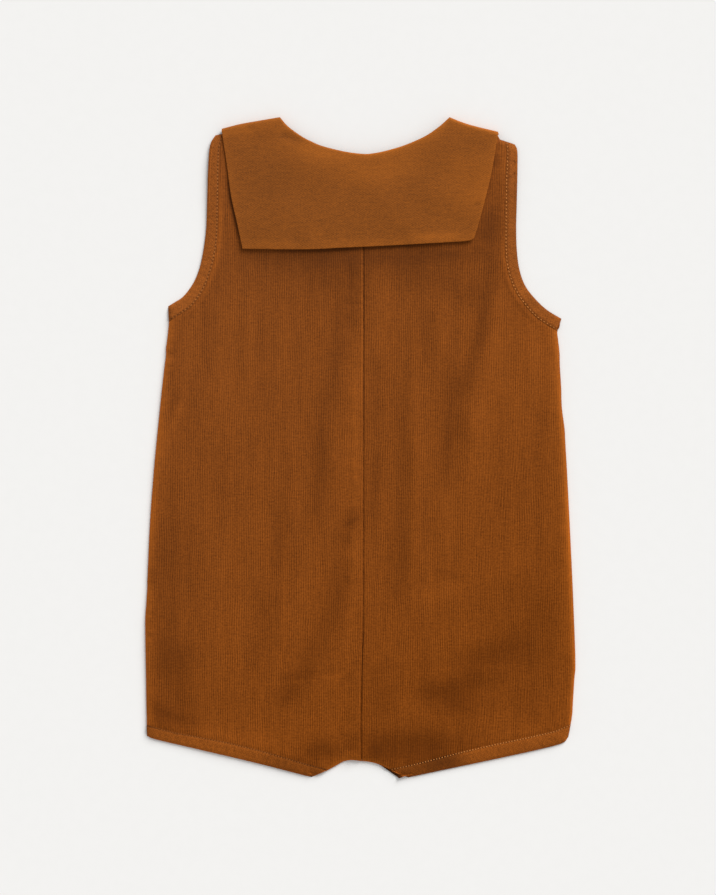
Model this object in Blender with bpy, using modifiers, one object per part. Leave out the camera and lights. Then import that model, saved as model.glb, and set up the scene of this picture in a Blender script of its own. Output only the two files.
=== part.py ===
"""A sleeveless baby romper with a square back collar, laid flat on its front.

The script works in metres with +Z up. +Y runs towards the shoulders, x = 0 and y = 0 are the middle of
the garment and the floor is z = 0. The front lies underneath with its outer face down, the back lies on
it with its outer face up, and the collar goes over both shoulders and ends under the front. Left and
right are as seen from above. The tables are in millimetres.
"""

import bpy
import bmesh
import numpy as np

MM = 0.001
LEFT, RIGHT = 0, 1
SIDE_NAMES = ("left", "right")

# Cloth.
WALL = 1.2 * MM  # body panels
BAND_WALL = 1.5 * MM  # the folded bias binding round armholes and legs
COLLAR_WALL = 1.2 * MM  # two layers, pressed
SEAM_GAP = 0.4 * MM  # between pieces that are sewn edge to edge
LAYER_GAP = 0.3 * MM  # between pieces that lie on each other
ARMHOLE_BAND = 6.6 * MM  # width of the binding that shows
LEG_BAND = 9.2 * MM
BAND_PROUD = 0.3 * MM  # the binding stands this far above its panel
CORNER_ROUND = 6 * MM  # how much of a binding's outer edge is rounded at its corners
END_TRIM = 1.6 * MM  # the front's bindings stop short of the back's turned edges by this

# Heights of outer faces above the floor, where nothing lies under the front.
BACK_TOP = 3.4 * MM
SIDE_EDGE_TOP = 0.85 * MM  # where the back has turned down at a side or a shoulder
SIDE_ROLL = 3.2 * MM  # how far in that turn starts
SHOULDER_TURNED = 0.85  # share of the shoulder, from its tip, along which the back turns down
FRONT_SCALE = (0.988, 0.992)  # the front lies just inside the back, within its turned sides

# The collar.
SHOULDER_TURN = 2.2 * MM  # how far the fold bulges past the straight part of the flap
NECK_TURN = 1.5 * MM
NECK_DROP = 4.0 * MM  # from the collar's neck fold to the panels' neck edge under it
FLAP_CLEARANCE = 0.6 * MM
FLAP_EDGE_LIFT = 0.7 * MM
FLAP_EDGE_REACH = 14 * MM
COLLAR_CENTRE = 2.5 * MM
END_LIFT = COLLAR_WALL + LAYER_GAP  # what the collar's ends raise the front by
END_MARGIN = 12 * MM
END_FADE = 30 * MM

# How finely each sheet is divided.
ROLL_STEPS = np.array([0, 0.5, 1.9, 5.0]) * MM
PLAIN_START = (0,)
ARMHOLE_CELLS = 13
SIDE_ROWS = 16
BODY_COLUMNS = 10
CROTCH_COLUMNS = 4
FRONT_COLUMNS = 9
FRONT_SIDE_ROWS = 11
BAND_ACROSS = (0, 0.14, 0.84, 1)  # shares of a binding's width
BAND_CROWN = np.array([-0.5, 0, 0, -0.3]) * MM  # its height there
LEG_BAND_CELLS = 10
FLAP_ROWS = 9
SHOULDER_COLUMNS = 4
NECK_COLUMNS = 12
TURN_ANGLES = np.radians([45, 90, 135, 180])
NECK_TURN_ROWS = 2

# Edge of each armhole, from the shoulder's tip to the underarm.
ARMHOLE = (  # left x, left y, right x, right y
    (-101.8, 217.8, 108.6, 211.6),
    (-105.2, 211.0, 110.2, 207.0),
    (-106.6, 195.0, 110.3, 195.0),
    (-107.2, 175.0, 109.8, 175.0),
    (-108.0, 153.0, 109.4, 152.0),
    (-110.2, 136.0, 110.0, 135.0),
    (-113.0, 124.0, 112.1, 122.5),
    (-117.4, 114.1, 116.2, 112.2),
    (-123.8, 105.7, 123.2, 102.9),
    (-134.6, 98.6, 140.7, 89.9),
)
# Edge of each side, from the underarm down to the leg.
SIDE = (  # left x, left y, right x, right y
    (-134.6, 98.6, 140.7, 89.9),
    (-134.0, 88.5, 138.4, 82.0),
    (-135.8, 68.0, 140.0, 68.0),
    (-140.0, 33.0, 141.0, 33.0),
    (-144.2, -9.0, 144.2, -9.0),
    (-147.4, -55.0, 146.8, -55.0),
    (-149.6, -100.0, 149.0, -100.0),
    (-150.5, -145.0, 150.5, -145.0),
    (-149.9, -181.0, 148.6, -181.0),
    (-149.6, -202.2, 145.9, -202.3),
)
# Edge of each leg, from the side to the inside of the leg.
LEG = (  # left x, left y, right x, right y
    (-149.6, -202.2, 145.9, -202.3),
    (-142.4, -204.9, 141.0, -207.3),
    (-111.3, -212.2, 123.5, -212.1),
    (-72.4, -221.4, 88.5, -219.7),
    (-34.2, -231.0, 34.3, -231.1),
)
# Edge of the crotch, from the inside of the leg to the centre back seam.
CROTCH = (  # left x, left y, right x, right y
    (-34.2, -231.0, 34.3, -231.1),
    (-24.8, -227.5, 30.1, -230.2),
    (-16.4, -223.0, 19.9, -226.2),
    (-9.5, -219.7, 11.5, -222.2),
    (1.0, -220.1, 1.0, -220.1),
)
# The front's own leg and crotch on the right, where its corner shows past the back.
FRONT_RIGHT_LEG = (
    (144.1, -200.7),
    (139.3, -205.6),
    (122.0, -210.4),
    (87.4, -217.9),
    (38.0, -228.6),
    (27.8, -231.4),
)
FRONT_RIGHT_CROTCH = ((27.8, -231.4), (20.5, -226.7), (11.0, -220.6), (1.0, -218.3))
# The centre back seam, from neck to crotch.
BACK_SEAM = ((2.4, 201.5), (2.4, 139.0), (2.2, -105.0), (1.4, -146.0), (0.5, -190.0), (1.0, -220.1))
# The collar's fold at the back neck, from one shoulder to the other.
NECK_FOLD = (
    (-56.3, 231.4),
    (-50.4, 223.3),
    (-40.6, 216.7),
    (-26.6, 211.1),
    (-11.9, 207.4),
    (2.1, 205.7),
    (17.5, 207.2),
    (30.8, 211.1),
    (45.2, 217.2),
    (55.3, 224.4),
    (62.3, 231.4),
)
# The flap's fold over each shoulder, from its outer corner to the neck.
FLAP_SHOULDER = (  # left x, left y, right x, right y
    (-96.9, 222.9, 96.3, 220.8),
    (-84.0, 226.4, 79.0, 225.2),
    (-70.0, 228.9, 70.5, 227.9),
    (-56.3, 231.4, 62.3, 231.4),
)
# The flap's free sides, from the shoulder down.
FLAP_SIDE = (  # left x, left y, right x, right y
    (-96.9, 222.9, 96.3, 220.8),
    (-94.9, 203.4, 95.0, 211.0),
    (-90.6, 176.1, 87.5, 181.7),
    (-87.0, 157.2, 81.6, 155.0),
    (-81.6, 139.2, 77.6, 147.0),
)
FLAP_BOTTOM = ((-81.6, 139.2), (-24.0, 139.0), (16.8, 140.4), (60.0, 143.0), (77.6, 147.0))
# The collar's left end, under the front, from the shoulder to the point of the V.
COLLAR_END = (  # neck x, neck y, outer x, outer y
    (-52.0, 221.0, -95.2, 207.0),
    (-44.0, 206.0, -88.0, 189.0),
    (-33.5, 189.5, -72.5, 172.5),
    (-22.0, 174.5, -50.5, 158.5),
    (-10.5, 161.5, -26.0, 148.5),
    (0.8, 151.5, -0.5, 142.5),
)
# Large soft folds of the back: a ridge has a height above 0 and a trough one below it.
FOLDS = (  # from x, from y, to x, to y, width, height
    (-9, 102, -32, -30, 9, -0.5),
    (-10, 40, -8, -120, 7, 0.5),
    (-75, 80, -72, -90, 20, 0.7),
    (-100, -110, -85, -190, 18, 0.7),
    (89, 102, 60, -21, 9, -0.5),
    (38, 70, 36, -100, 12, 0.6),
    (108, 70, 98, -90, 14, 0.8),
    (118, -110, 112, -185, 14, 0.7),
    (20, -168, 100, -176, 13, -0.5),
    (-45, -158, -6, -158, 4, -0.4),
    (5, -158, 80, -151, 4, -0.4),
    (-140, -180, -118, -190, 9, -0.4),
    (-50, -213, -10, -213, 6, -0.4),
    (8, -212, 48, -206, 7, -0.4),
    (143, 66, 147, -185, 6, 1.0),
    (-138, 60, -146, -185, 5, 0.5),
    (-7, 120, -7, -205, 4, 0.3),
    (-120, -206, -60, -220, 12, 0.6),
    (60, -220, 120, -209, 12, 0.6),
)
SEAM_DIP = 0.4 * MM
SEAM_DIP_WIDTH = 2.2 * MM

RUST_RIB = (0.262, 0.079, 0.012)
RUST_TWILL = (0.292, 0.092, 0.016)


def column_pair(table, side):
    """The x and y columns of one side, in metres."""
    return np.array(table)[:, 2 * side : 2 * side + 2] * MM


def smooth(points, cuts=8):
    """A rounded line through the points, with this many cuts between each two."""
    points = np.asarray(points, float)
    padded = np.vstack([2 * points[0] - points[1], points, 2 * points[-1] - points[-2]])
    line = []
    for a, b, c, d in zip(padded, padded[1:], padded[2:], padded[3:]):
        for t in np.arange(cuts) / cuts:
            bend = (2 * a - 5 * b + 4 * c - d) * t**2 + (3 * b - a - 3 * c + d) * t**3
            line.append(b + ((c - a) * t + bend) / 2)
    line.append(points[-1])
    return np.array(line)


def distances_along(line):
    steps = np.linalg.norm(np.diff(line, axis=0), axis=1)
    return np.concatenate([[0], np.cumsum(steps)])


def walk(line, distances):
    """The points this far along a line."""
    along = distances_along(line)
    return np.column_stack([np.interp(distances, along, line[:, k]) for k in (0, 1)])


def at_shares(line, shares):
    return walk(line, np.asarray(shares) * distances_along(line)[-1])


def distance_to(line, points):
    """How far each point is from a line."""
    nearest = np.full(len(points), np.inf)
    for start, end in zip(line, line[1:]):
        step = end - start
        share = np.clip((points - start) @ step / max(step @ step, 1e-12), 0, 1)
        nearest = np.minimum(nearest, np.linalg.norm(points - start - share[:, None] * step, axis=1))
    return nearest


def ease(share):
    share = np.clip(share, 0, 1)
    return share * share * (3 - 2 * share)


def armhole_edge(side):
    return smooth(column_pair(ARMHOLE, side))


def side_edge(side):
    return smooth(column_pair(SIDE, side))


def leg_edge(side):
    return smooth(column_pair(LEG, side))


def crotch_edge(side):
    return smooth(column_pair(CROTCH, side))


def shoulder_edge(side):
    """The panels' shoulder, from its tip to the neck."""
    neck = np.array(NECK_FOLD[0 if side == LEFT else -1]) * MM - (0, NECK_DROP)
    return np.array([column_pair(ARMHOLE, side)[0], neck])


def back_seam():
    return smooth(np.array(BACK_SEAM) * MM)


def neck_fold():
    return smooth(np.array(NECK_FOLD) * MM)


def collar_end_sides(side):
    """The neck side and the outer side of one collar end, from the shoulder to the V."""
    table = np.array(COLLAR_END) * MM
    neck, outer = table[:, :2], table[:, 2:]
    fold = column_pair(FLAP_SHOULDER, side) - (0, SHOULDER_TURN)
    if side == RIGHT:
        mirror = np.array([-1, 1])
        neck, outer = (part * mirror + (2 * COLLAR_CENTRE, 0) for part in (neck, outer))
    return np.vstack([fold[-1], neck]), np.vstack([fold[0], outer])


def collar_end_lift(points):
    """How much the collar's ends under the front raise what lies over them."""
    lift = np.zeros(len(points))
    for side in (LEFT, RIGHT):
        outer = collar_end_sides(side)[1]
        order = np.argsort(outer[:, 0])
        above = points[:, 1] > np.interp(points[:, 0], outer[order, 0], outer[order, 1])
        half = points[:, 0] < COLLAR_CENTRE if side == LEFT else points[:, 0] >= COLLAR_CENTRE
        away = np.where(above & half, 0, distance_to(outer, points))
        lift = np.maximum(lift, END_LIFT * ease(1 - (away - END_MARGIN) / END_FADE))
    return lift


def fold_height(points):
    height = -SEAM_DIP * np.exp(-((distance_to(back_seam(), points) / SEAM_DIP_WIDTH) ** 2))
    for from_x, from_y, to_x, to_y, width, rise in FOLDS:
        line = np.array([(from_x, from_y), (to_x, to_y)]) * MM
        height += rise * MM * np.exp(-((distance_to(line, points) / (width * MM)) ** 2))
    return height


def back_height(points, turned=True):
    """Height of the back's outer face, turned down round the sides and the shoulders."""
    rise = collar_end_lift(points)
    top = BACK_TOP + rise + fold_height(points)
    if not turned:
        return top
    shoulders = [at_shares(shoulder_edge(side), (0, SHOULDER_TURNED)) for side in (LEFT, RIGHT)]
    edges = [side_edge(LEFT), side_edge(RIGHT), *shoulders]
    inset = np.min([distance_to(edge, points) for edge in edges], axis=0)
    share = np.clip(inset / SIDE_ROLL, 0, 1)
    bottom = SIDE_EDGE_TOP + rise
    return bottom + (top - bottom) * np.sqrt(1 - (1 - share) ** 2)


def flap_height(points):
    """Height of the collar flap's outer face, a little higher along its free edges."""
    free = [smooth(column_pair(FLAP_SIDE, side)) for side in (LEFT, RIGHT)]
    free.append(smooth(np.array(FLAP_BOTTOM) * MM))
    inset = np.min([distance_to(edge, points) for edge in free], axis=0)
    lift = FLAP_EDGE_LIFT * np.exp(-inset / FLAP_EDGE_REACH)
    return back_height(points, turned=False) + FLAP_CLEARANCE + COLLAR_WALL + lift


def inner_line(line, side, width, before, after):
    """A line at this width inside an edge, carried on to the edges that come before and after it."""
    ahead = np.gradient(line, axis=0)
    ahead /= np.linalg.norm(ahead, axis=1)[:, None]
    turn = 1 if side == LEFT else -1
    inward = turn * np.column_stack([-ahead[:, 1], ahead[:, 0]])
    along = distances_along(line)
    kept = np.flatnonzero((along > CORNER_ROUND) & (along < along[-1] - CORNER_ROUND))
    ends = []
    for place, adjoining in ((kept[0], before), (kept[-1], after)):
        reach = np.maximum.accumulate((adjoining - line[place]) @ inward[place])
        ends.append([np.interp(width, reach, adjoining[:, k]) for k in (0, 1)])
    return np.vstack([ends[0], line[kept] + inward[kept] * width, ends[1]])


def armhole_inner(side, width):
    return inner_line(armhole_edge(side), side, width, shoulder_edge(side), side_edge(side))


def front_hem(side):
    """The front's own leg and crotch edges."""
    if side == RIGHT:
        return smooth(np.array(FRONT_RIGHT_LEG) * MM), smooth(np.array(FRONT_RIGHT_CROTCH) * MM)
    return leg_edge(side) * FRONT_SCALE, crotch_edge(side) * FRONT_SCALE


def leg_inner(side, width, front_layer=False):
    seam = side_edge(side)[::-1]
    if not front_layer:
        return inner_line(leg_edge(side), side, width, seam, crotch_edge(side))
    leg, crotch = front_hem(side)
    return inner_line(leg, side, width, seam * FRONT_SCALE, crotch)


def cut_from(line, point):
    """The part of a line past the place nearest to a point, starting at that point."""
    nearest = np.argmin(np.linalg.norm(line - point, axis=1))
    return np.vstack([point, line[nearest + 1 :]])


def coons(west, east, north, south, across, down):
    """Points of a four-sided patch: a list of rows from north to south."""
    across, down = np.asarray(across)[None, :, None], np.asarray(down)[:, None, None]
    west, east = west[:, None], east[:, None]
    ruled = west * (1 - across) + east * across
    top = north - (north[0] * (1 - across) + north[-1] * across)
    bottom = south - (south[0] * (1 - across) + south[-1] * across)
    return ruled + top * (1 - down) + bottom * down


def by_x(line, shares):
    """Points of a line at these shares of its extent in x."""
    order = np.argsort(line[:, 0])
    x = line[0, 0] + (line[-1, 0] - line[0, 0]) * np.asarray(shares)
    return np.column_stack([x, np.interp(x, line[order, 0], line[order, 1])])


def material(name, colour, roughness):
    made = bpy.data.materials.new(name)
    made.use_nodes = True
    shader = made.node_tree.nodes["Principled BSDF"]
    shader.inputs["Base Color"].default_value = (*colour, 1)
    shader.inputs["Roughness"].default_value = roughness
    return made


def sheet(name, points, wall, face_up, colour, dropped=None):
    """A named cloth solid: a grid on these rows of outer-face points, with its wall inside them."""
    rows, columns = points.shape[:2]
    bm = bmesh.new()
    bmesh.ops.create_grid(bm, x_segments=columns - 1, y_segments=rows - 1, size=1)
    for vertex in bm.verts:
        column = round((vertex.co.x + 1) / 2 * (columns - 1))
        row = round((1 - vertex.co.y) / 2 * (rows - 1))
        if dropped is not None and dropped(row, column):
            vertex.tag = True
            continue
        vertex.co = points[row, column]
    bmesh.ops.delete(bm, geom=[vertex for vertex in bm.verts if vertex.tag], context="VERTS")
    bm.normal_update()
    facing = sum(face.normal.z * face.calc_area() for face in bm.faces)
    if (facing > 0) != face_up:
        bmesh.ops.reverse_faces(bm, faces=bm.faces)
    mesh = bpy.data.meshes.new(name)
    bm.to_mesh(mesh)
    bm.free()
    mesh.shade_smooth()
    mesh.set_sharp_from_angle(angle=np.radians(50))
    mesh.materials.append(material(name, colour, 0.85))
    made = bpy.data.objects.new(name, mesh)
    bpy.data.collections["baby_romper"].objects.link(made)
    solidify = made.modifiers.new("wall", "SOLIDIFY")
    solidify.thickness = wall
    solidify.offset = -1
    return made


def raised(flat, heights):
    """Rows of plan points given the heights that a function works out."""
    rows, columns = flat.shape[:2]
    return np.dstack([flat, heights(flat.reshape(-1, 2)).reshape(rows, columns)])


def stepped(length, cells, start=ROLL_STEPS, end=()):
    """Distances along an edge: close steps at its ends where it turns, even ones between."""
    tail = [length - step for step in reversed(end)]
    middle = np.linspace(start[-1], tail[0] if tail else length, cells + 1)
    return np.concatenate([start[:-1], middle, tail[1:]])


def outer_sides(side, side_cells, start=ROLL_STEPS, end=ROLL_STEPS, scale=(1, 1)):
    """A panel's edge along the armhole's binding and the side, at its rows."""
    armhole = armhole_inner(side, ARMHOLE_BAND + SEAM_GAP / 2)
    hem = leg_inner(side, LEG_BAND + SEAM_GAP / 2)[0]
    seam = cut_from(side_edge(side), armhole[-1])
    seam = np.vstack([seam[seam[:, 1] > hem[1]], hem])
    upper = walk(armhole, stepped(distances_along(armhole)[-1], ARMHOLE_CELLS, start, end))
    lower = at_shares(seam, np.linspace(0, 1, side_cells + 1))
    return np.vstack([upper, lower[1:]]) * scale


def down_shares(edge):
    return (edge[0, 1] - edge[:, 1]) / (edge[0, 1] - edge[-1, 1])


def back_half(side):
    """One half of the back, between its bindings and the centre seam."""
    outer = outer_sides(side, SIDE_ROWS)
    shares = down_shares(outer)
    turn = 1 if side == LEFT else -1
    seam = back_seam() - (turn * SEAM_GAP / 2, 0)
    centre = np.column_stack(
        [
            np.interp(-(seam[0, 1] + (seam[-1, 1] - seam[0, 1]) * shares), -seam[:, 1], seam[:, 0]),
            seam[0, 1] + (seam[-1, 1] - seam[0, 1]) * shares,
        ]
    )
    neck = neck_fold() - (0, NECK_DROP)
    neck = neck[neck[:, 0] < centre[0, 0]] if side == LEFT else neck[neck[:, 0] > centre[0, 0]][::-1]
    top = np.vstack([outer[0], neck, centre[0]])
    hem = leg_inner(side, LEG_BAND + SEAM_GAP / 2)
    crotch = cut_from(crotch_edge(side), hem[-1])
    crotch = crotch[(crotch[:, 0] - centre[-1, 0]) * turn < 0]
    bottom = np.vstack([hem, crotch[1:], centre[-1]])
    width = abs(centre[0, 0] - outer[-1, 0])
    leg_share = (hem[-1, 0] - outer[-1, 0]) / (centre[-1, 0] - outer[-1, 0])
    cells = np.linspace(ROLL_STEPS[-1] / width, leg_share, BODY_COLUMNS + 1)
    inner = 1 - (1 - np.arange(1, CROTCH_COLUMNS + 1) / CROTCH_COLUMNS) ** 1.6
    across = np.concatenate([ROLL_STEPS[:-1] / width, cells, leg_share + (1 - leg_share) * inner])
    flat = coons(outer, centre, by_x(top, across), by_x(bottom, across), across, shares)
    return sheet(f"back_{SIDE_NAMES[side]}", raised(flat, back_height), WALL, True, RUST_RIB)


def front():
    """The whole front, with a V neck, lying with its outer face down."""
    west, east = (
        outer_sides(side, FRONT_SIDE_ROWS, PLAIN_START, (), FRONT_SCALE) for side in (LEFT, RIGHT)
    )
    tops, bottoms = [], []
    for side in (LEFT, RIGHT):
        neck = collar_end_sides(side)[0]
        neck[0] = shoulder_edge(side)[1] * FRONT_SCALE
        tops.append(np.vstack([(west, east)[side][0], neck]))
        hem = leg_inner(side, LEG_BAND + SEAM_GAP / 2, front_layer=True)
        crotch = cut_from(front_hem(side)[1], hem[-1])
        bottoms.append(np.vstack([(west, east)[side][-1], hem[1:], crotch[1:]]))
    top = np.vstack([tops[LEFT], tops[RIGHT][::-1]])
    bottom = np.vstack([bottoms[LEFT], bottoms[RIGHT][-2::-1]])
    side_share = (tops[LEFT][1, 0] - west[0, 0]) / (east[0, 0] - west[0, 0])
    half = np.concatenate(
        [np.linspace(0, side_share, FRONT_COLUMNS // 2 + 1)[:-1], np.linspace(side_share, 0.5, 6)]
    )
    across = np.concatenate([half, 1 - half[-2::-1]])
    down = (down_shares(west) + down_shares(east)) / 2
    flat = coons(west, east, by_x(top, across), by_x(bottom, across), across, down)
    return sheet("front", raised(flat, collar_end_lift), WALL, False, RUST_RIB)


def band(name, outer, inner, cells, front_layer, start=PLAIN_START, end=(), trim=(0, 0)):
    """A binding between an edge and its inner line, crowned where it shows."""
    length = distances_along(inner)[-1]
    shares = stepped(length, cells, start, end) / length
    shares[0] += trim[0] / length
    shares[-1] -= trim[1] / length
    outer, inner = at_shares(outer, shares), at_shares(inner, shares)
    flat = np.array([outer * (1 - share) + inner * share for share in BAND_ACROSS])
    if front_layer:
        return sheet(name, raised(flat, collar_end_lift), BAND_WALL, False, RUST_TWILL)
    points = raised(flat, back_height)
    points[:, :, 2] += BAND_PROUD + BAND_CROWN[:, None]
    return sheet(name, points, BAND_WALL, True, RUST_TWILL)


def armhole_band(side, front_layer):
    layer = "front" if front_layer else "back"
    scale = FRONT_SCALE if front_layer else (1, 1)
    outer = armhole_edge(side) * scale
    inner = armhole_inner(side, ARMHOLE_BAND - SEAM_GAP / 2) * scale
    name = f"armhole_band_{layer}_{SIDE_NAMES[side]}"
    if front_layer:
        return band(name, outer, inner, ARMHOLE_CELLS, True, trim=(END_TRIM, END_TRIM))
    return band(name, outer, inner, ARMHOLE_CELLS, False, ROLL_STEPS, ROLL_STEPS)


def leg_band(side, front_layer):
    layer = "front" if front_layer else "back"
    name = f"leg_band_{layer}_{SIDE_NAMES[side]}"
    width = LEG_BAND - SEAM_GAP / 2
    if front_layer:
        inner = leg_inner(side, width, front_layer=True)
        return band(name, front_hem(side)[0], inner, LEG_BAND_CELLS, True, trim=(END_TRIM, 0))
    return band(name, leg_edge(side), leg_inner(side, width), LEG_BAND_CELLS, False, ROLL_STEPS)


def collar():
    """The flap on the back, its folds over the shoulders and round the neck, and its two front ends."""
    left, right = (column_pair(FLAP_SHOULDER, side) for side in (LEFT, RIGHT))
    fold = np.vstack([smooth(left)[:-1], neck_fold(), smooth(right)[::-1][1:]])
    width = fold[-1, 0] - fold[0, 0]
    neck_shares = [(point[0] - fold[0, 0]) / width for point in (left[-1], right[-1])]
    across = np.concatenate(
        [
            np.linspace(0, neck_shares[0], SHOULDER_COLUMNS + 1)[:-1],
            np.linspace(*neck_shares, NECK_COLUMNS + 1),
            np.linspace(neck_shares[1], 1, SHOULDER_COLUMNS + 1)[1:],
        ]
    )
    last = len(across) - 1
    necks = range(SHOULDER_COLUMNS + 1, last - SHOULDER_COLUMNS)
    fold = by_x(fold, across)
    bulge = np.where([column in necks for column in range(last + 1)], NECK_TURN, SHOULDER_TURN)
    north = fold - np.column_stack([np.zeros(last + 1), bulge])
    down = np.linspace(0, 1, FLAP_ROWS + 1)
    west, east = (at_shares(smooth(column_pair(FLAP_SIDE, side)), down) for side in (LEFT, RIGHT))
    south = by_x(smooth(np.array(FLAP_BOTTOM) * MM), across)
    west[0], east[0] = north[0], north[-1]
    flap = raised(coons(west, east, north, south, across, down), flap_height)
    turned = []
    for angle in TURN_ANGLES:
        row = np.column_stack([fold, flap[0, :, 2]])
        for column in range(last + 1):
            drop = row[column, 2] / 2
            if column in necks:
                drop = NECK_TURN
            row[column, 1] -= bulge[column] * (1 - np.sin(angle))
            row[column, 2] -= drop * (1 - np.cos(angle))
        turned.append(row)
    ends = np.zeros((len(COLLAR_END), last + 1, 3))
    steps = np.arange(SHOULDER_COLUMNS + 1)
    share = (steps / SHOULDER_COLUMNS)[:, None]
    for side in (LEFT, RIGHT):
        neck, outer = collar_end_sides(side)
        columns = steps if side == LEFT else last - steps
        for step in range(len(ends)):
            ends[step, columns, :2] = outer[step + 1] * (1 - share) + neck[step + 1] * share
    points = np.array([*ends[::-1], *turned[::-1], *flap])
    neck_start = len(ends) + len(turned) - NECK_TURN_ROWS

    def dropped(row, column):
        return row < neck_start and column in necks

    return sheet("collar", points, COLLAR_WALL, True, RUST_TWILL, dropped)


def main():
    for thing in list(bpy.data.objects):
        bpy.data.objects.remove(thing)
    bpy.context.scene.collection.children.link(bpy.data.collections.new("baby_romper"))
    front()
    collar()
    for side in (LEFT, RIGHT):
        back_half(side)
        for front_layer in (True, False):
            armhole_band(side, front_layer)
            leg_band(side, front_layer)


main()
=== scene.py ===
"""A sleeveless baby romper with a square back collar, laid flat with its back up.

Every piece of cloth is a thin shell on the same form as its solid in the frame. Sizes and heights are in
millimetres until a piece is finished, where they become metres. Left and right are as seen from above.
"""

import bmesh
import bpy
import numpy as np
from mathutils import Matrix, Vector


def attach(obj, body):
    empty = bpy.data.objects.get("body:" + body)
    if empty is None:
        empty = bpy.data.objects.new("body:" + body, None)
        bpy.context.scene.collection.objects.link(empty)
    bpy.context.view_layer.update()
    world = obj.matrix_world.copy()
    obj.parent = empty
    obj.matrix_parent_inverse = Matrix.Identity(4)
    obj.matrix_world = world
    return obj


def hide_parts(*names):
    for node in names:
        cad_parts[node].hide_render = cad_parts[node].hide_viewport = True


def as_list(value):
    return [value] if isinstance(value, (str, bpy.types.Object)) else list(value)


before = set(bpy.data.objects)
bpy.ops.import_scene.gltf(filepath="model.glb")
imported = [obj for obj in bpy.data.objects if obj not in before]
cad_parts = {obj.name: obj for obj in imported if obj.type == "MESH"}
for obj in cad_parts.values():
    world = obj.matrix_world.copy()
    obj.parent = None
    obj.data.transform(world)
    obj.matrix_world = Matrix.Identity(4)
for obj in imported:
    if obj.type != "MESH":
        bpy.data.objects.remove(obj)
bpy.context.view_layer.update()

MM = 0.001
LEFT, RIGHT = SIDES = (0, 1)
SIDE_NAMES = ("left", "right")
PAINTED_TONE = "painted_light_and_shade"  # the attribute that holds the painted light and shade of each place, paler above 0 and deeper below it
CLOTH_MAP = "cloth"  # the map of each piece's flat cloth

# Cloth, as it is cut and pressed.
SHELL = 0.8  # body cloth
FRONT_SHELL = 0.6
BAND_SHELL = 0.55  # what shows of the folded bias binding
COLLAR_SHELL = 1.1  # two layers
UNDER_BAND = 1.6  # how far a panel runs on under its binding
BAND_LAP = 0.25  # a binding's top above the panel that it laps
PANEL_TUCK = 0.15  # how far the panel sinks where it goes under the binding
TUCK_SLOPE, FRONT_TUCK_SLOPE = 1.1, 3  # over what distance
FOLD_PAST_STITCH = 0.75  # from the row of stitches to the binding's folded edge
PANEL_EDGE = FOLD_PAST_STITCH - UNDER_BAND  # from the row of stitches to the panel's own edge

# Heights of outer faces above the floor, and how they turn down at the edges.
BACK_TOP = 3.4
LOWEST_BACK = 2.15  # in the deepest trough
SIDE_EDGE_TOP = 0.3
SIDE_ROLL = 3.6
CROTCH_DROP, CROTCH_ROLL = 2.75, 6.5
ARMHOLE_DROP, LEG_DROP = 1.1, 1.4  # how much lower a binding's outer edge lies than the cloth inside it
BINDING_SLOPE = 9.0
SHOULDER_TURNED = 0.85  # share of the shoulder that turns down, from its tip
FRONT_SEAT = 0.3  # the front's bindings stand this far off the floor, above their stitches
FLOOR_GAP, THREAD_FLOOR_GAP = 0.03, 0.02  # kept under cloth and thread

# How the pieces fit together.
FRONT_SCALE = (0.988, 0.992)  # the front's width and length as shares of the back's
SEAM_GAP = 0.1
CORNER_ROUND = 6.0  # how far from a corner a binding's inner line is free of it
END_TRIM = 1.6  # what the front's bindings stop short by

# How finely each sheet is divided, and its closer steps at edges.
BODY_CELL = 1.35
BAND_CELL = 0.45
COLLAR_CELL = 1.2
CLOSE_ROLL = (0, 0.15, 0.45, 0.95, 1.6, 2.4, 3.4)
CLOSE = (0, 0.3, 0.75, 1.3, 2.1, 3.2)
CLOSE_EDGE = (0, 0.12, 0.38, 0.8)
FRONT_ARMHOLE_ROWS = 40
FRONT_SIDE_ROWS = 80
FRONT_COLUMNS = 90
TURN_ANGLES = range(15, 181, 15)  # round the collar's fold, in degrees
NECK_ROWS_LEFT_OUT = 2  # turned rows that the fold round the neck stops short by
NECK_BLEND = 9  # columns over which the collar's fold changes from shoulder to neck
LINE_CUTS, FOLD_CUTS, END_CUTS = 8, 4, 8  # between two points of an edge, a fold and a collar end
SHARP_ANGLE = 60  # in degrees, from which an edge stays crisp
TINY, TINY_STEP = 1e-9, 1e-6  # keep lengths above 0

# The collar.
SHOULDER_TURN, NECK_TURN = 2.2, 1.5  # how far its fold bulges past the edge
NECK_DROP = 4.0  # from the collar's fold to the panels' neck edge under it
COLLAR_CENTRE = 2.5
END_LIFT = 1.5  # how much its ends raise the layers over them
END_MARGIN, END_FADE = 12.0, 30.0  # how far past the ends that holds, and over what distance it fades
END_EDGE_RISE, END_EDGE_ROLL = 0.5, 1.3
COLLAR_EDGE_DROP, COLLAR_EDGE_ROLL = 0.25, 1.1
CORNER_CLEARANCE = 0.3  # from a corner of the flap to the next point of its side
FLAP_CLEARANCE = 0.3  # under the flap
FLAP_PRESSED = 0.6  # share of it that is pressed out by the shoulders
FLAP_PRESSED_FROM = (175, 45)  # height up the back, and over what distance
# How far the flap's edges stand up, and how far in that reaches.
FLAP_EDGE_LIFT = (0.35, 14.0)
FLAP_LEFT_LIFT = (0.1, 5)
HEM_LIFT, LOBE_LIFT, HEM_REACH = 0.5, 0.45, 12
HEM_LOBES = ((1, -24, 20), (0.5, 44, 16))  # share of a lobe's lift, where, half width
HEM_WAVE_REACH, SIDE_WAVE_REACH = 7, 6

# Soft uneven ground: height, distance between hills, seed of its draws.
BACK_GROUND = (0.08, 40, 5)
FLAP_GROUND = (0.12, 26, 9)
HILL_WAVES = 14
HILL_SPREAD = (0.7, 1.6)  # least and most share of that distance

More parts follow.
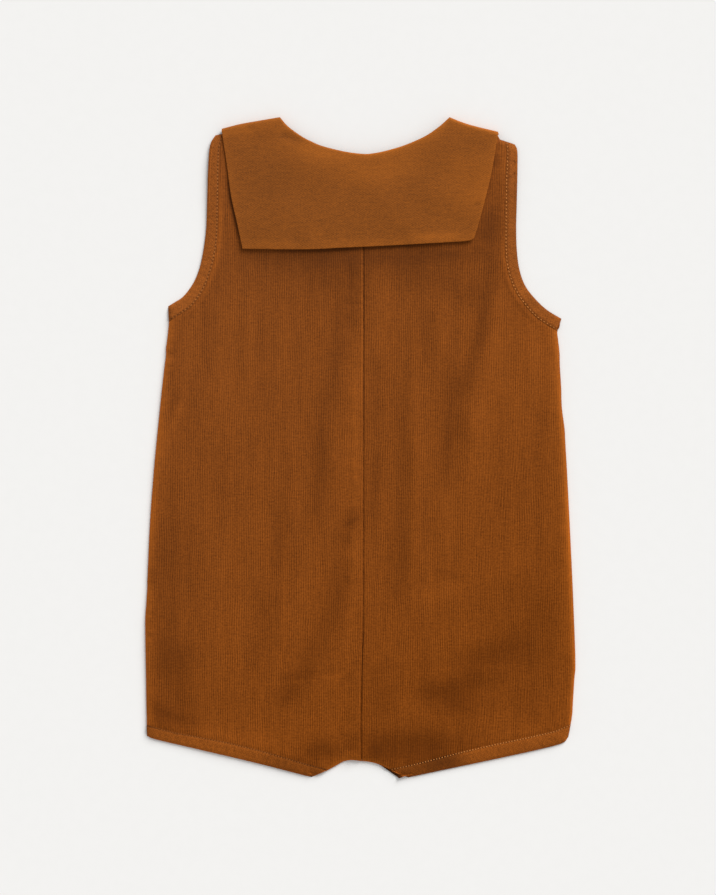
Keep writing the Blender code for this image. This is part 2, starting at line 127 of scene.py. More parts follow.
# Puckers and waves: height, distance between crests, seed of their draws.
BINDING_PUCKERS = (0.11, 7.5, 11)  # in the cloth beside a binding
ALLOWANCE_EDGE = (0.7, 22, 3)
ALLOWANCE_MARKS = (0.16, 15.5, 8)
SEAM_PUCKERS = (0.10, 8.5, 21)
LEFT_SCALLOPS = (0.26, 8.6, 31)
RIGHT_SCALLOPS = (0.14, 17, 32)
BAND_PUCKERS = (0.07, 7.2, 0)  # in the binding itself, which adds its own seed
BAND_FINE_PUCKERS = (0.035, 4.6, 1)
HEM_WAVES = (0.16, 17, 41)
SIDE_WAVES = (0.10, 13, 42)
WAVE_SHARES = (0.63, 0.85, 1.0, 1.27, 1.9)  # shares of that distance in the waves that are mixed
WAVE_SHARPNESS = 0.6

# What a seam raises or sinks beside it: height, how far from the seam, half width.
ARMHOLE_RIDGE = (0.30, 2.6, 1.5)  # the cloth turned in under a binding
LEG_RIDGE = (0.12, 2.6, 1.5)
RIDGE_FADE = 22  # over which a ridge rises at its ends
PUCKERED_BESIDE_BINDING = (1, 1.5, 4.5)  # where puckers are strongest, and how wide they run
SEAM_GROOVES = ((-0.55, 0, 0.75), (-0.2, 0, 0.5))  # left, right
PUCKERED_BESIDE_SEAM = (1, 0, 5)
MARKED_BY_ALLOWANCE = (1, 10, 4.5)
MARKS_FROM = (2, 4)  # distance from the seam, and over what distance they grow
BELOW_COLLAR = (66, 10)  # how far down the seam it leaves the collar, and over what distance
ALLOWANCE_WIDTH, ALLOWANCE_SLOPE = 9.6, 2.2
ALLOWANCE_HEIGHT, ALLOWANCE_RISE = 0.42, 1.2
UNDER_COLLAR = 0.2  # share of the allowance's height that is left under the collar
LEFT_SIDE_DRAWN = ((1, 45, 32), (0.7, 225, 20))  # how much the side seam draws, where, how far
LEFT_SIDE_DRAWN_LEAST = 0.2
LEFT_SCALLOPED = (1, 3.6, 2.6)
RIGHT_SCALLOPED = (1, 5, 3.5)
SHOWING_SEAM_GROOVE = (-0.5, 0, 0.8)

# A binding's face.
BAND_EDGE_DROP, BAND_EDGE_ROLL = 1.9, 3.2
LIP_DROP, LIP_ROLL = 0.3, 0.55
BAND_CROWN, BAND_CROWN_SLOPE = 0.12, 2.0
PUCKER_SLANT, FINE_PUCKER_SLANT = 0.55, -0.8
FINE_PUCKERS_FROM_EDGE = 1.2
STITCH_CHANNEL = (-0.18, 0, 0.6)
HOLE_WIDTH = 0.6
HOLE_DEPTH = 0.16

# Painted shade and light along the seams: tone, how far from the seam, half width. Below 0 is painted
# shade and above it painted light.
SEAM_LINE = (-0.42, 0, 0.36)
SEAM_PALE_LINE = (0.45, 1.1, 0.45)
SEAM_PALE_LINE_TO = (190, 60)  # how far down the seam, and over what distance it fades
ALLOWANCE_TONE = 0.05
ALLOWANCE_TONE_TO = (8.8, 1.2)  # how far from the seam, and over what distance it fades
ALLOWANCE_TONE_TOP, ALLOWANCE_TONE_FOOT = (100, 40), (325, 40)  # the same down the seam
ARMHOLE_RIDGE_LINE = 1.6  # from the binding to the ridge that takes a painted highlight
ARMHOLE_RIDGE_TONE = (0.85, 0, 1.5)
ARMHOLE_RIDGE_LIT = (1, 72, 38)  # its strength, how far round the armhole, half width
STITCH_ROW_TONE = (-0.15, 0, 0.8)
DITCH_PLACE = (1.2, 0.6)  # of the painted shadow line beside a row of stitches
# Painted shadow on the front's corner, under the back's edge.
FRONT_CORNER_SHADOW = (-1.15, 0, 4.5)
# A band of painted light round the collar's turned neck, where its fold catches the light.
NECK_PALE_BAND = (0.3, 4.5, 3.5)
# Painted highlights at an edge, where it rolls down out of the light, and how far each reaches in. A tone
# below 0 is painted shade.
LEFT_SIDE_RIMS = ((1.9, 2.2), (0.3, 0.8))
RIGHT_SIDE_RIM, RIGHT_LOW_RIM = (1.3, 3.0), (1.6, 1.5)
RIGHT_DEEP_RIM = (-0.4, 0.9)
RIGHT_LOW = (-130, 30)  # height on the back below which the lower one holds, and over what distance
CROTCH_RIMS = ((1.7, 1.1), (0.35, 2.5))
FLAP_HEM_RIM = (0.4, 1.6)
FLAP_LEFT_RIM, FLAP_RIGHT_RIM = (0.3, 2.0), (0.25, 2.0)
NECK_RIM, NECK_RIGHT_RIM = (0.55, 2.0), (0.5, 4.5)
NECK_RIGHT = (-25, 40)  # place across the neck from which the right's holds, and over what distance
BAND_RIM_REACH, BAND_LIP_REACH = 1.2, 0.8

# The stitches.
STITCH_SHARE = 0.6  # share of the pitch that a stitch is long
STITCH_WIDTH = 0.56
STITCH_HEIGHT = 0.45
STITCH_SEAT = 0.1  # the middle of a stitch above the bottom of its channel
STITCH_END_TONE, STITCH_END_FADE = -0.75, 26.0  # how much painted shade a row takes towards its ends, and from where
STITCH_LEAN = 0.05  # spread of how far each stitch is turned, in radians
STITCH_LENGTHS = (0.92, 1.06)  # least and most of the usual length
STITCH_TONES = 0.12  # spread of their tones
STITCH_FACES = {"u_segments": 7, "v_segments": 5}
# Each seam's pitch and how far its thread is pulled in, then the painted light and shade of its parts.
SEAMS = {  # pitch, pull, thread, holes, a line beside the row, outer edge, folded edge
    ("armhole", LEFT): (2.57, 0.08, 0.15, -0.8, 0.0, 0.5, 0.0),
    ("armhole", RIGHT): (2.57, 0.0, 0.9, -0.5, -0.25, 0.05, 0.0),
    ("leg", LEFT): (2.0, 0.16, -0.4, -0.45, 0.0, 0.5, -0.6),
    ("leg", RIGHT): (2.0, 0.02, 0.9, -0.6, 0.0, 0.35, -0.25),
}

# Colours, from the darker to the lighter threads.
RIB_DYES = ("#612E03", "#904B11")
COLLAR_DYES = ("#67360B", "#955114")
BOUND_DYES = ("#743C0E", "#A75A1B")
THREAD_DYES = ("#8E5220", "#B8763A")
PAPER_TONES = ("#EBEAE8", "#EDECEA")
UPPER_LEFT_TINT = "#826149"  # a greyer tint that the cloth takes towards the upper left
FUZZ = "#D08A50"  # the fine fibres that catch the light

# How tone shows in a dyed cloth. Numbers 1 to 4 of a range are from, to, and what it comes to at each.
WEAVE_CALMED = {1: -0.6, 2: 0, 3: 0.45, 4: 1}  # the weave shows less where the painted shade is deep
# How far painted shade darkens and painted light lightens the colour past the two dyes.
GROWN_DEEPER = {1: -0.9, 2: 0, 3: 0.1, 4: 1}
GROWN_PALER = {1: 1, 2: 3, 3: 1, 4: 2.1}
UPPER_LEFT_TOWARDS = (-1.2, 2.2, 0)  # up and to the left, per metre
UPPER_LEFT_SHARE = {1: -0.4, 2: 0.5, 3: 0, 4: 0.08}
# Matt cotton with a little fuzz on it.
MATT = {"Roughness": 0.9, "Specular IOR Level": 0.08, "Sheen Weight": 0.2, "Sheen Roughness": 0.3}
THREAD_ROUGHNESS = 0.6
PAPER_FINISH = {"Roughness": 0.95, "Specular IOR Level": 0.1}
BUMP_STRENGTH = 0.6

# Light and camera, in metres and degrees.
FLOOR_HALF = 10.0
SUN_STRENGTH = 3.3
SUN_SPREAD = 34
SUN_HEIGHT = 30
SUN_FROM = 58
ROOM_LIGHT = 0.55
LENS = 150
SENSOR = 36
FAR = 100
CAMERA_PLACE = (-0.0017, -0.0002, 2.6104)

# The cloths' patterns, as sizes in millimetres and shares of the tone.
RIB_DRIFTS = ((40, 3.2), (10, 0.7))  # size of a drift, and how far it sways the ribs
RIB_PITCH, WIDE_RIB_PITCH = 1.6, 2.1
WIDE_RIB_LEAN = 4  # in degrees
RIB_REGION = 70  # size of the places where one or the other shows
RIB_REGION_SHARE = {1: 0.58, 2: 0.78, 4: 0.6}
MORE_TO_THE_RIGHT = {1: 0.02, 2: 0.08, 3: 0, 4: 0.1}
RIB_FADE = 13
RIB_SHOWN = {1: 0.3, 2: 0.7, 3: 0.35, 4: 1.6}
RIB_YARNS = (  # across the ribs, along them, whether it drifts with them
    (1.5, 12, True),
    (6, 90, True),
    (8, 1.3, False),
)
RIB_GRAIN = 1.25  # coarser than the yarn, so that it shows
RIB_SMALL = 4
RIB_SHARES = (0.52, 0.5, 0.35, 0.45, 1.22, 0.2)  # ribs, the three yarns, grain, small patches
RIB_RELIEF = (0.5, 0.5, 0.4)  # ribs, first yarn, grain
RIB_DEPTH = 0.08
WEAVE_DRIFTS = ((18, 1.4), (5, 0.7))
WEAVE_PITCH, WEAVE_GRAIN = 1.3, 1.15  # both coarser than the cloth, so that they show
WEAVE_SMALL = 5
WEAVE_SLUB = (8, 1.3)
WEAVE_SHARES = (0.35, 0.6)  # small patches, slubs
WEAVE_RELIEF = (0.3, 0.3, 0.5)  # the two threads, grain
WEAVE_DEPTH = 0.07
COLLAR_WEAVE = (57, 0.26, 1.3)  # how far its threads are turned, then the shares of threads and grain
BOUND_WEAVE = (45, 0.24, 1.5)
THREAD_UNEVEN, THREAD_DEPTH = 2.2, 0.03
PAPER_GRAIN = 8
SOFT, DETAILED = 1.0, 2.0  # how much finer detail a noise has
YARN_DETAIL = 1.5

# Width and length that each piece is cut to, as far as it shows, in metres.
BACK_CUT = (0.158, 0.452)
FRONT_CUT = (0.300, 0.450)
COLLAR_CUT = (0.200, 0.190)
BINDING_CUTS = {"armhole": (0.012, 0.150), "leg": (0.014, 0.130)}

# Edge of each armhole, from the shoulder's tip to the underarm.
ARMHOLE = (  # left x, left y, right x, right y
    (-101.6, 218.2, 108.2, 211.8),
    (-105.2, 211.0, 109.8, 207.0),
    (-106.6, 195.0, 109.9, 195.0),
    (-107.2, 175.0, 109.5, 175.0),
    (-108.0, 153.0, 109.0, 152.0),
    (-110.2, 136.0, 109.7, 135.0),
    (-113.0, 124.0, 111.8, 122.3),
    (-117.4, 114.1, 115.9, 112.0),
    (-123.8, 105.7, 123.2, 102.9),
    (-128.9, 102.1, 130.8, 95.9),
    (-134.6, 98.6, 140.7, 89.9),
)
# From an armhole's edge to its row of stitches.
ARMHOLE_STITCH = (  # share of the armhole, left, right
    (0.00, 6.2, 6.8),
    (0.20, 7.0, 7.7),
    (0.45, 7.3, 7.2),
    (0.60, 8.0, 7.8),
    (0.75, 7.5, 7.3),
    (0.88, 8.2, 8.2),
    (1.00, 9.0, 8.0),
)
# Edge of each side, from the underarm down to the leg.
SIDE = (  # left x, left y, right x, right y
    (-134.6, 98.6, 140.7, 89.9),
    (-134.0, 88.5, 137.9, 82.0),
    (-135.0, 77.0, 138.4, 75.0),
    (-136.0, 70.0, 139.4, 66.0),
    (-136.1, 64.5, 139.6, 57.0),
    (-136.9, 58.0, 140.5, 42.0),
    (-139.6, 34.0, 141.0, 28.0),
    (-143.9, -9.0, 142.9, 13.0),
    (-147.1, -50.0, 143.4, 4.0),
    (-149.0, -90.0, 144.9, -22.0),
    (-149.2, -98.0, 147.1, -66.0),
    (-149.9, -110.0, 149.1, -110.0),
    (-150.6, -123.0, 150.5, -150.0),
    (-150.1, -160.0, 149.7, -163.0),
    (-149.8, -180.0, 148.7, -180.0),
    (-149.5, -193.0, 148.2, -187.5),
    (-150.0, -197.0, 146.8, -196.0),
    (-149.4, -202.1, 145.5, -202.9),
)
# Edge of each leg, from the side to the inside of the leg.
LEG = (  # left x, left y, right x, right y
    (-149.4, -202.1, 145.5, -202.9),
    (-142.4, -204.7, 141.0, -207.2),
    (-111.3, -212.0, 123.5, -211.9),
    (-72.4, -221.2, 88.5, -219.5),
    (-44.0, -228.5, 44.3, -228.8),
    (-38.2, -230.0, 38.3, -230.1),
    (-34.2, -230.9, 33.4, -231.2),
)
# From a leg's edge to its row of stitches.
LEG_STITCH = (  # share of the leg, left, right
    (0.00, 7.9, 9.5),
    (0.17, 7.6, 9.9),
    (0.45, 9.2, 10.2),
    (0.65, 9.1, 9.7),
    (0.87, 8.2, 8.4),
    (1.00, 7.6, 7.8),
)
# Edge of the crotch, from the inside of the leg to the centre back seam.
CROTCH = (  # left x, left y, right x, right y
    (-34.2, -230.9, 33.4, -231.2),
    (-28.4, -229.1, 30.0, -229.9),
    (-22.0, -225.5, 25.5, -227.1),
    (-17.6, -223.1, 19.9, -225.3),
    (-13.8, -220.9, 16.4, -223.5),
    (-10.8, -219.5, 11.6, -221.5),
    (-5.7, -218.9, 6.5, -220.2),
    (1.0, -219.7, 1.0, -219.7),
)
# The front's own leg and crotch on the right, where its corner shows past the back.
FRONT_RIGHT_LEG = (
    (144.1, -200.7),
    (139.3, -205.6),
    (122.0, -210.4),
    (87.4, -217.9),
    (38.0, -228.6),
    (30.4, -230.4),
    (27.0, -231.6),
)
FRONT_RIGHT_CROTCH = (
    (27.0, -231.6),
    (24.6, -230.5),
    (22.1, -228.5),
    (19.2, -226.0),
    (11.0, -220.9),
    (1.0, -218.4),
)
# The centre back seam, from neck to crotch.
BACK_SEAM = ((2.4, 201.5), (2.4, 139.0), (2.2, -105.0), (1.4, -146.0), (0.5, -190.0), (1.0, -219.7))
# The right side seam, where it leaves the edge above the leg.
SHOWING_SIDE_SEAM = ((144.2, -198.5), (146.3, -190.0), (148.9, -173.0))
# The collar's fold at the back neck, from one shoulder to the other.
NECK_FOLD = (
    (-56.3, 230.8),
    (-50.4, 224.1),
    (-40.6, 217.0),
    (-33.6, 213.4),
    (-26.6, 210.5),
    (-11.9, 206.8),
    (1.5, 205.0),
    (8.4, 205.3),
    (17.5, 207.1),
    (30.8, 211.1),
    (45.2, 217.4),
    (55.3, 224.4),
    (62.3, 230.8),
)
# The flap's fold over each shoulder, from its outer corner to the neck.
FLAP_SHOULDER = (  # left x, left y, right x, right y
    (-96.9, 222.7, 96.2, 220.6),
    (-84.0, 226.0, 79.0, 224.8),
    (-70.0, 228.5, 70.5, 227.5),
    (-56.3, 230.8, 62.3, 230.8),
)
# The flap's free sides, from the shoulder down.
FLAP_SIDE = (  # left x, left y, right x, right y
    (-96.9, 222.7, 96.2, 220.6),
    (-96.0, 214.7, 95.6, 215.3),
    (-93.4, 197.8, 91.2, 190.2),
    (-90.3, 175.0, 86.9, 172.5),
    (-86.5, 157.9, 82.6, 156.3),
    (-82.4, 138.6, 79.4, 146.0),
)
FLAP_BOTTOM = (
    (-82.4, 138.6),
    (-52.0, 138.1),
    (-30.0, 138.3),
    (-14.0, 139.2),
    (16.8, 140.6),
    (60.0, 143.0),
    (75.0, 144.1),
    (79.4, 146.0),
)
# The collar's left end, under the front, from the shoulder to the point of the V.
COLLAR_END = (  # neck x, neck y, outer x, outer y
    (-52.0, 221.0, -95.2, 207.0),
    (-44.0, 206.0, -88.0, 189.0),
    (-33.5, 189.5, -72.5, 172.5),
    (-22.0, 174.5, -50.5, 158.5),
    (-10.5, 161.5, -26.0, 148.5),
    (0.8, 151.5, -0.5, 142.5),
)

# How every fold runs.
FOLD_FADE = 0.28  # share of its length over which it dies away at each end
FOLD_LEAST = 0.1  # share of its height that is left there
FOLD_GROUND = (0.16, 45)  # how uneven it is, and over what distance
FOLD_REACH = 3  # widths from its line to where it ends
# Folds of the back. A ridge has a height above 0 and a trough one below it.
BACK_FOLDS = (  # points of its line, width, height
    (((-80, 152), (0, 155), (85, 152)), 30, 1.0),
    (((3, 62), (-6, 22), (-17, 2), (-22, -34)), 9, 1.3),
    (((-5, 132), (-6, 60)), 4.5, -0.5),
    (((96, 136), (94, 100), (86, 70), (77, 38), (77, 0), (70, -32)), 8, 1.5),
    (((57, 104), (56, 55)), 6, 0.6),
    (((37, 62), (36, 20), (39, -20), (38, -110)), 6, 1.0),
    (((18, 128), (17, 40)), 8, 0.4),
    (((-77, 100), (-76, 20)), 7, 0.5),
    (((-50, 30), (-50, -85)), 5, 0.5),
    (((-55, -95), (-57, -145)), 6, 0.7),
    (((10, -42), (-3, -60), (-5, -90), (-13, -120), (-34, -160), (-52, -188)), 7, 1.1),
    (((112, 95), (112, 40), (116, -60)), 24, 0.9),
    (((-100, 60), (-100, -40)), 26, 0.6),
    (((-96, -120), (-88, -190)), 22, 0.7),
    (((135, -84), (90, -92), (45, -125)), 16, 0.8),
    (((52, -196), (92, -190)), 12, 0.5),
    (((48, -178), (72, -170), (100, -168)), 7, -0.8),
    (((68, -150), (112, -140)), 6, -0.6),
    (((112, -120), (126, -165)), 18, -0.7),
    (((-45, -160), (-6, -158)), 2.2, -0.28),
    (((4, -158), (79, -152), (131, -150)), 2.6, -0.22),
    (((-137, -150), (-128, -190)), 10, -0.8),
    (((-144, -182), (-135, -189), (-122, -193)), 3.5, -0.5),
    (((-136, -30), (-138, -100)), 10, -0.5),
    (((-124, 35), (-131, 15), (-139, -6)), 3, 0.5),
    (((-46, -219), (-18, -210)), 7, -0.6),
    (((8, -212), (60, -207)), 8, -1.0),
    (((-12, -214), (-2, -216.5)), 2.5, 0.6),
    (((-118, -203), (-60, -213)), 8, 0.6),
    (((66, -212), (132, -200)), 8, 0.5),
    (((-146, -110), (-146, -190)), 5, 0.3),
)
# Painted shade on the back, below 0, and painted light, above it: the collar's shadow under its edges,
# darker troughs and lit ridges of the folds.
BACK_PAINTED_SHADE_AND_LIGHT = (  # points of its line, width, tone
    (((-100, 133), (0, 133), (98, 137)), 7, -0.3),
    (((-84, 124), (84, 126)), 15, -0.16),
    (((42, 122), (62, 118), (94, 102)), 11, -0.2),
    (((-34, 134), (-20, 108)), 12, -0.1),
    (((-6, 148), (-7, 100), (-16, 45)), 4.5, -0.16),
    (((17, 148), (16, 40)), 8, 0.12),
    (((-118, 110), (-118, 40)), 5, 0.12),
    (((-108, 110), (-108, 30)), 3.5, -0.1),
    (((-94, 120), (-95, 0)), 9, 0.1),
    (((-77, 120), (-76, 0)), 3.5, 0.12),
    (((-68, 115), (-68, 30)), 3, -0.1),
    (((-54, 110), (-54, 40)), 7, 0.08),
    (((-14, 110), (-18, 60), (-18, 20)), 5, -0.16),
    (((-24, 56), (-27, 20), (-28, -10), (-31, -72)), 5, -0.22),
    (((-3, 80), (-5, 20), (-8, -10), (-11, -58)), 6, 0.17),
    (((-3, 70), (-3, -50)), 3.5, 0.12),
    (((-34, -50), (-46, -150)), 9, 0.08),
    (((-54, -20), (-58, -100)), 4.5, -0.12),
    (((-42, -46), (-46, -104)), 4, -0.08),
    (((-60, -84), (-66, -120), (-76, -168)), 9, -0.15),
    (((-93, -44), (-98, -104)), 10, 0.1),
    (((-84, -96), (-90, -152)), 12, 0.08),
    (((6, -46), (-8, -52), (-14, -74)), 5, -0.2),
    (((-10, -56), (-14, -84), (-19, -112), (-30, -138), (-44, -164), (-74, -198)), 8.5, -0.2),
    (((-5, -50), (-6, -112), (-10, -166)), 3.5, 0.16),
    (((-60, -163), (-26, -156)), 4, -0.16),
    (((-70, -166), (-30, -161.5), (6, -157)), 1.6, 0.14),
    (((-60, -180), (-40, -168)), 7, -0.12),
    (((-141, -40), (-139, -120), (-138, -222)), 13, -0.26),
    (((-120, -40), (-118, -120)), 18, -0.07),
    (((-146, -136), (-110, -150)), 12, -0.1),
    (((-126, -134), (-123, -200)), 9, -0.14),
    (((-152, -174), (-137, -188), (-112, -194)), 6, -0.26),
    (((-116, -198), (-54, -208)), 9, 0.14),
    (((-126, 44), (-136, 18)), 3.5, -0.2),
    (((-122, 38), (-131, 15), (-140, -12)), 3, 0.22),
    (((-129, 84), (-132, 60)), 3.5, -0.14),
    (((-133, 55), (-135, 36)), 3.5, -0.14),
    (((-146, -82), (-146, -98)), 3.5, -0.3),
    (((12, 50), (8, 4)), 5.5, -0.12),
    (((12, 12), (8, -60)), 5.5, -0.18),
    (((31, 90), (30, 20), (31, -40)), 5.5, -0.12),
    (((32, 10), (31, -60), (30, -134)), 5.5, -0.14),
    (((25, -44), (25, -120)), 6, -0.1),
    (((40, 80), (38, 0), (38, -112)), 4, 0.12),
    (((47, 110), (48, 50)), 4.5, -0.1),
    (((46, -20), (46, -72)), 5, -0.08),
    (((56, 92), (56, 44)), 4, 0.16),
    (((62, 62), (62, 20), (60, -38)), 5, -0.22),
    (((70, 58), (69, -4)), 5, -0.18),
    (((94, 150), (89, 112), (84, 80), (77, 56), (68, 24)), 5, -0.22),
    (((62, -24), (62, -78)), 9, 0.1),
    (((98, 116), (96, 46)), 8, 0.16),
    (((88, 76), (86, 20), (81, -40)), 8, 0.2),
    (((112, 100), (106, -20)), 15, 0.12),
    (((125, 40), (125, -100)), 5, -0.12),
    (((38, -106), (74, -98)), 6, 0.14),
    (((48, -86), (78, -92)), 3, -0.12),
    (((120, -84), (116, -130), (100, -190)), 24, -0.22),
    (((58, -152), (88, -146), (128, -130)), 9, -0.2),
    (((36, -181), (62, -170), (92, -158)), 11, -0.3),
    (((52, -176), (78, -184)), 12, -0.12),
    (((52, -134), (34, -196)), 13, -0.1),
    (((-18, -207), (30, -206), (90, -208)), 10, -0.3),
    (((-6, -214), (24, -216), (72, -215)), 8, -0.36),
    (((-44, -214), (-22, -209), (4, -209)), 7, -0.26),
    (((-60, -222), (-34, -221), (-14, -213)), 7, -0.2),
    (((-14, -215), (1, -217)), 3, 0.24),
    (((96, 168), (90, 156), (86, 140)), 8, -0.36),
    (((96, 206), (95, 194)), 3.5, -0.3),
    (((88, 168), (100, 167)), 2, -0.16),
    (((2.4, 140), (2.4, 8)), 0.45, -0.3),
    (((2.0, -108), (0.6, -205)), 0.5, -0.35),
    (((-11, -55), (-1, -49)), 1.3, -0.16),
    (((-8.6, -58), (-8.6, -67)), 1.3, -0.16),
    (((-10, -82), (-3, -77)), 1.3, -0.16),
    (((-9.6, -90), (-8.8, -96)), 1.3, -0.14),
    (((-8.1, -11), (-8.1, -17)), 1.3, -0.14),
    (((-6.5, -20), (-5.7, -25)), 1.3, -0.14),
    (((-3, 1), (-1, 6)), 1.5, 0.14),
    (((-6, -15), (-3.5, -10)), 1.4, 0.14),
    (((-4, -22), (-2, -18)), 1.4, 0.12),
    (((-5, -40), (-3, -35)), 1.4, 0.12),
    (((-5, -75), (-3, -71)), 1.4, 0.14),
    (((-4.5, -88), (-1.5, -84)), 1.4, 0.14),
    (((-92.6, 190), (-90.9, 175), (-87.1, 158), (-83.0, 140)), 1.0, -0.8),
    (((120, 100), (126, 60), (130, 20)), 11, 0.15),
    (((143.0, -197), (143.4, -204)), 0.9, -0.5),
    (((145.0, -196), (144.8, -203)), 1.0, 0.3),
    (((-48, -162), (-28, -161)), 1.4, -0.2),
    (((-12, -159.5), (-3, -158.5)), 1.4, -0.2),
    (((81, 100), (74, 45)), 6, 0.1),
    (((48, 136), (74, 135)), 5, -0.15),
    (((78, -178), (98, -178)), 9, -0.12),
    (((15, -140), (14, -198)), 12, -0.18),
    (((-50, -98), (-51, -112)), 6, -0.1),
    (((4, -212), (16, -214)), 5, -0.12),
    (((56, -180), (86, -182)), 9, -0.22),
    (((-14, -216), (-5, -218)), 3.5, 0.2),
    (((-84, 137.8), (-30, 137.6), (17, 139.9), (79, 144)), 1.1, -0.5),
    (((140.5, 90), (139.8, 38)), 2.0, -0.25),
    (((144.0, -20), (148.3, -92)), 2.2, 0.35),
    (((-134, 99), (-138, 38)), 1.6, 0.35),
    (((-138.6, 42), (-148.5, -90)), 1.6, 0.2),
    (((-149.8, -140), (-149.5, -202)), 1.2, -0.25),
    (((99.5, 184), (99.5, 222)), 2.5, 0.25),
    (((100.2, 150), (100.6, 136), (103.2, 122), (109, 107), (120, 95)), 1.4, 0.25),
    (((-26, -213), (-12, -213.5), (0, -212)), 4, -0.14),
)
# Folds of the flap.
FLAP_FOLDS = (  # points of its line, width, height
    (((-58, 220), (-48, 216), (-40, 212)), 3, -0.4),
    (((-40, 205), (2, 196), (28, 203)), 9, 0.5),
    (((-49, 150), (-42, 142)), 2, -0.22),
    (((-36, 153), (-30, 144)), 2, -0.22),
    (((-60, 190), (-30, 160)), 16, -0.35),
    (((40, 195), (50, 165)), 14, 0.3),
    (((78, 168.5), (85, 170)), 1.6, -0.3),
)
# Painted light and shade on the flap: painted light round the neck, on its right and along its lower
# edge, and painted shade in its creases and on its left.
FLAP_PAINTED_SHADE_AND_LIGHT = (  # points of its line, width, tone
    (((-70, 224), (-56, 214), (-36, 204), (-5, 192), (18, 192), (42, 203), (58, 220)), 9, 0.34),
    (((-20, 200), (4, 199), (26, 203)), 9, 0.16),
    (((-12, 200), (18, 200)), 2.5, -0.16),
    (((74, 212), (78, 160)), 15, 0.3),
    (((-88, 215), (-76, 224)), 10, 0.16),
    (((-62, 206), (-62, 168)), 15, -0.1),
    (((-58, 220), (-48, 216), (-40, 212)), 2.5, -0.4),
    (((-80, 142.5), (-44, 142)), 2.6, 0.24),
    (((-44, 142), (30, 144)), 2.2, 0.16),
    (((34, 146.5), (76, 148)), 3, 0.5),
    (((-36, 155), (-27, 145)), 2.4, 0.2),
    (((-49, 150), (-42, 142)), 2, -0.14),
    (((78, 168.5), (85, 170)), 1.4, -0.3),
    (((-46, 208), (-14, 202)), 5, 0.15),
    (((92, 214), (84, 160)), 7, 0.2),
)
# Creases of the bindings, and the painted shade and light on them: painted shade in the creases and dark
# stretches, painted highlights along the crotch.
BAND_FOLDS = (  # points of its line, width, height
    (((101.5, 200.7), (114, 198.2)), 0.8, -0.16),
    (((100, 186.0), (106, 189.8), (114, 195.8)), 0.9, -0.2),
)
BAND_PAINTED_SHADE_AND_LIGHT = (  # points of its line, width, tone
    (((101.5, 200.7), (114, 198.2)), 0.8, -0.2),
    (((100, 186.0), (106, 189.8), (114, 195.8)), 0.8, -0.25),
    (((112, 108), (142, 88)), 6, -0.3),
    (((-150, -205), (-56, -222)), 8, 0.14),
    (((-74, -218), (-42, -226), (-20, -232)), 9, -0.3),
    (((80, -216), (34, -227), (14, -232)), 10, -0.55),
    (((-138, 94), (-122, 106)), 6, -0.14),
    (((109.5, 214), (109.5, 175), (109.3, 140), (115, 113), (137, 92)), 3.5, -0.35),
    (((104.0, 212), (104.0, 175), (103.9, 140), (108.5, 113)), 1.6, -0.18),
    (((147, -206), (122, -213)), 6, -0.22),
    (((-34.2, -230.9), (-28.4, -229.1), (-22.0, -225.5), (-17.6, -223.1)), 0.9, 0.9),
    (((33.2, -231.3), (30.0, -229.9), (25.5, -227.1), (22.7, -226.2)), 0.9, 0.9),
)


def column_pair(table, side):
    """The x and y columns of one side."""
    return np.array(table, float)[:, 2 * side : 2 * side + 2]


def smooth(points, cuts=LINE_CUTS):
    """A rounded line through the points, with this many cuts between each two."""
    points = np.asarray(points, float)
    padded = np.vstack([2 * points[0] - points[1], points, 2 * points[-1] - points[-2]])
    line = []
    for a, b, c, d in zip(padded, padded[1:], padded[2:], padded[3:]):
        for t in np.arange(cuts) / cuts:
            bend = (2 * a - 5 * b + 4 * c - d) * t**2 + (3 * b - a - 3 * c + d) * t**3
            line.append(b + ((c - a) * t + bend) / 2)
    line.append(points[-1])
    return np.array(line)


def distances_along(line):
    steps = np.linalg.norm(np.diff(line, axis=0), axis=1)
    return np.concatenate([[0], np.cumsum(steps)])


def total(line):
    return distances_along(line)[-1]


def walk(line, distances):
    """The points this far along a line."""
    along = distances_along(line)
    return np.column_stack([np.interp(distances, along, line[:, k]) for k in (0, 1)])


def at_shares(line, shares):
    return walk(line, np.asarray(shares) * total(line))


def nearest_on(line, points):
    """For each point: how far it is from a line, how far along the line it is, and on which side."""
    along = distances_along(line)
    distance = np.full(len(points), np.inf)
    reached, side = np.zeros(len(points)), np.zeros(len(points))
    for start, end, passed in zip(line, line[1:], along):
        step = end - start
        length = max(np.linalg.norm(step), TINY)
        share = np.clip((points - start) @ step / length**2, 0, 1)
        away = points - start - share[:, None] * step
        far = np.linalg.norm(away, axis=1)
        closer = far < distance
        distance = np.where(closer, far, distance)
        reached = np.where(closer, passed + share * length, reached)
        side = np.where(closer, np.sign(step[0] * away[:, 1] - step[1] * away[:, 0]), side)
    return distance, reached, side


def distance_to(line, points):
    return nearest_on(line, points)[0]


def distance_to_any(lines, points):
    return np.min([distance_to(line, points) for line in lines], axis=0)


def ease(share):
    share = np.clip(share, 0, 1)
    return share * share * (3 - 2 * share)


def rising(place, start, over):
    """From 0 up to 1 past a place."""
    return ease((place - start) / over)


def falling(place, end, over):
    """From 1 down to 0 at a place."""
    return ease((end - place) / over)


def rolled(inset, reach):
    """Share of the full height at this distance inside an edge that turns down roundly."""
    share = np.clip(inset / reach, 0, 1)
    return np.sqrt(1 - (1 - share) ** 2)


def strip(away, height, middle, width):
    """A ridge, a groove or a tone that runs beside a seam, from the distance to the seam."""
    return height * np.exp(-(((away - middle) / width) ** 2))


def rims(inset, *parts):
    """Heights or tones that die away inside an edge, each over its own reach."""
    return sum(height * np.exp(-inset / reach) for height, reach in parts)


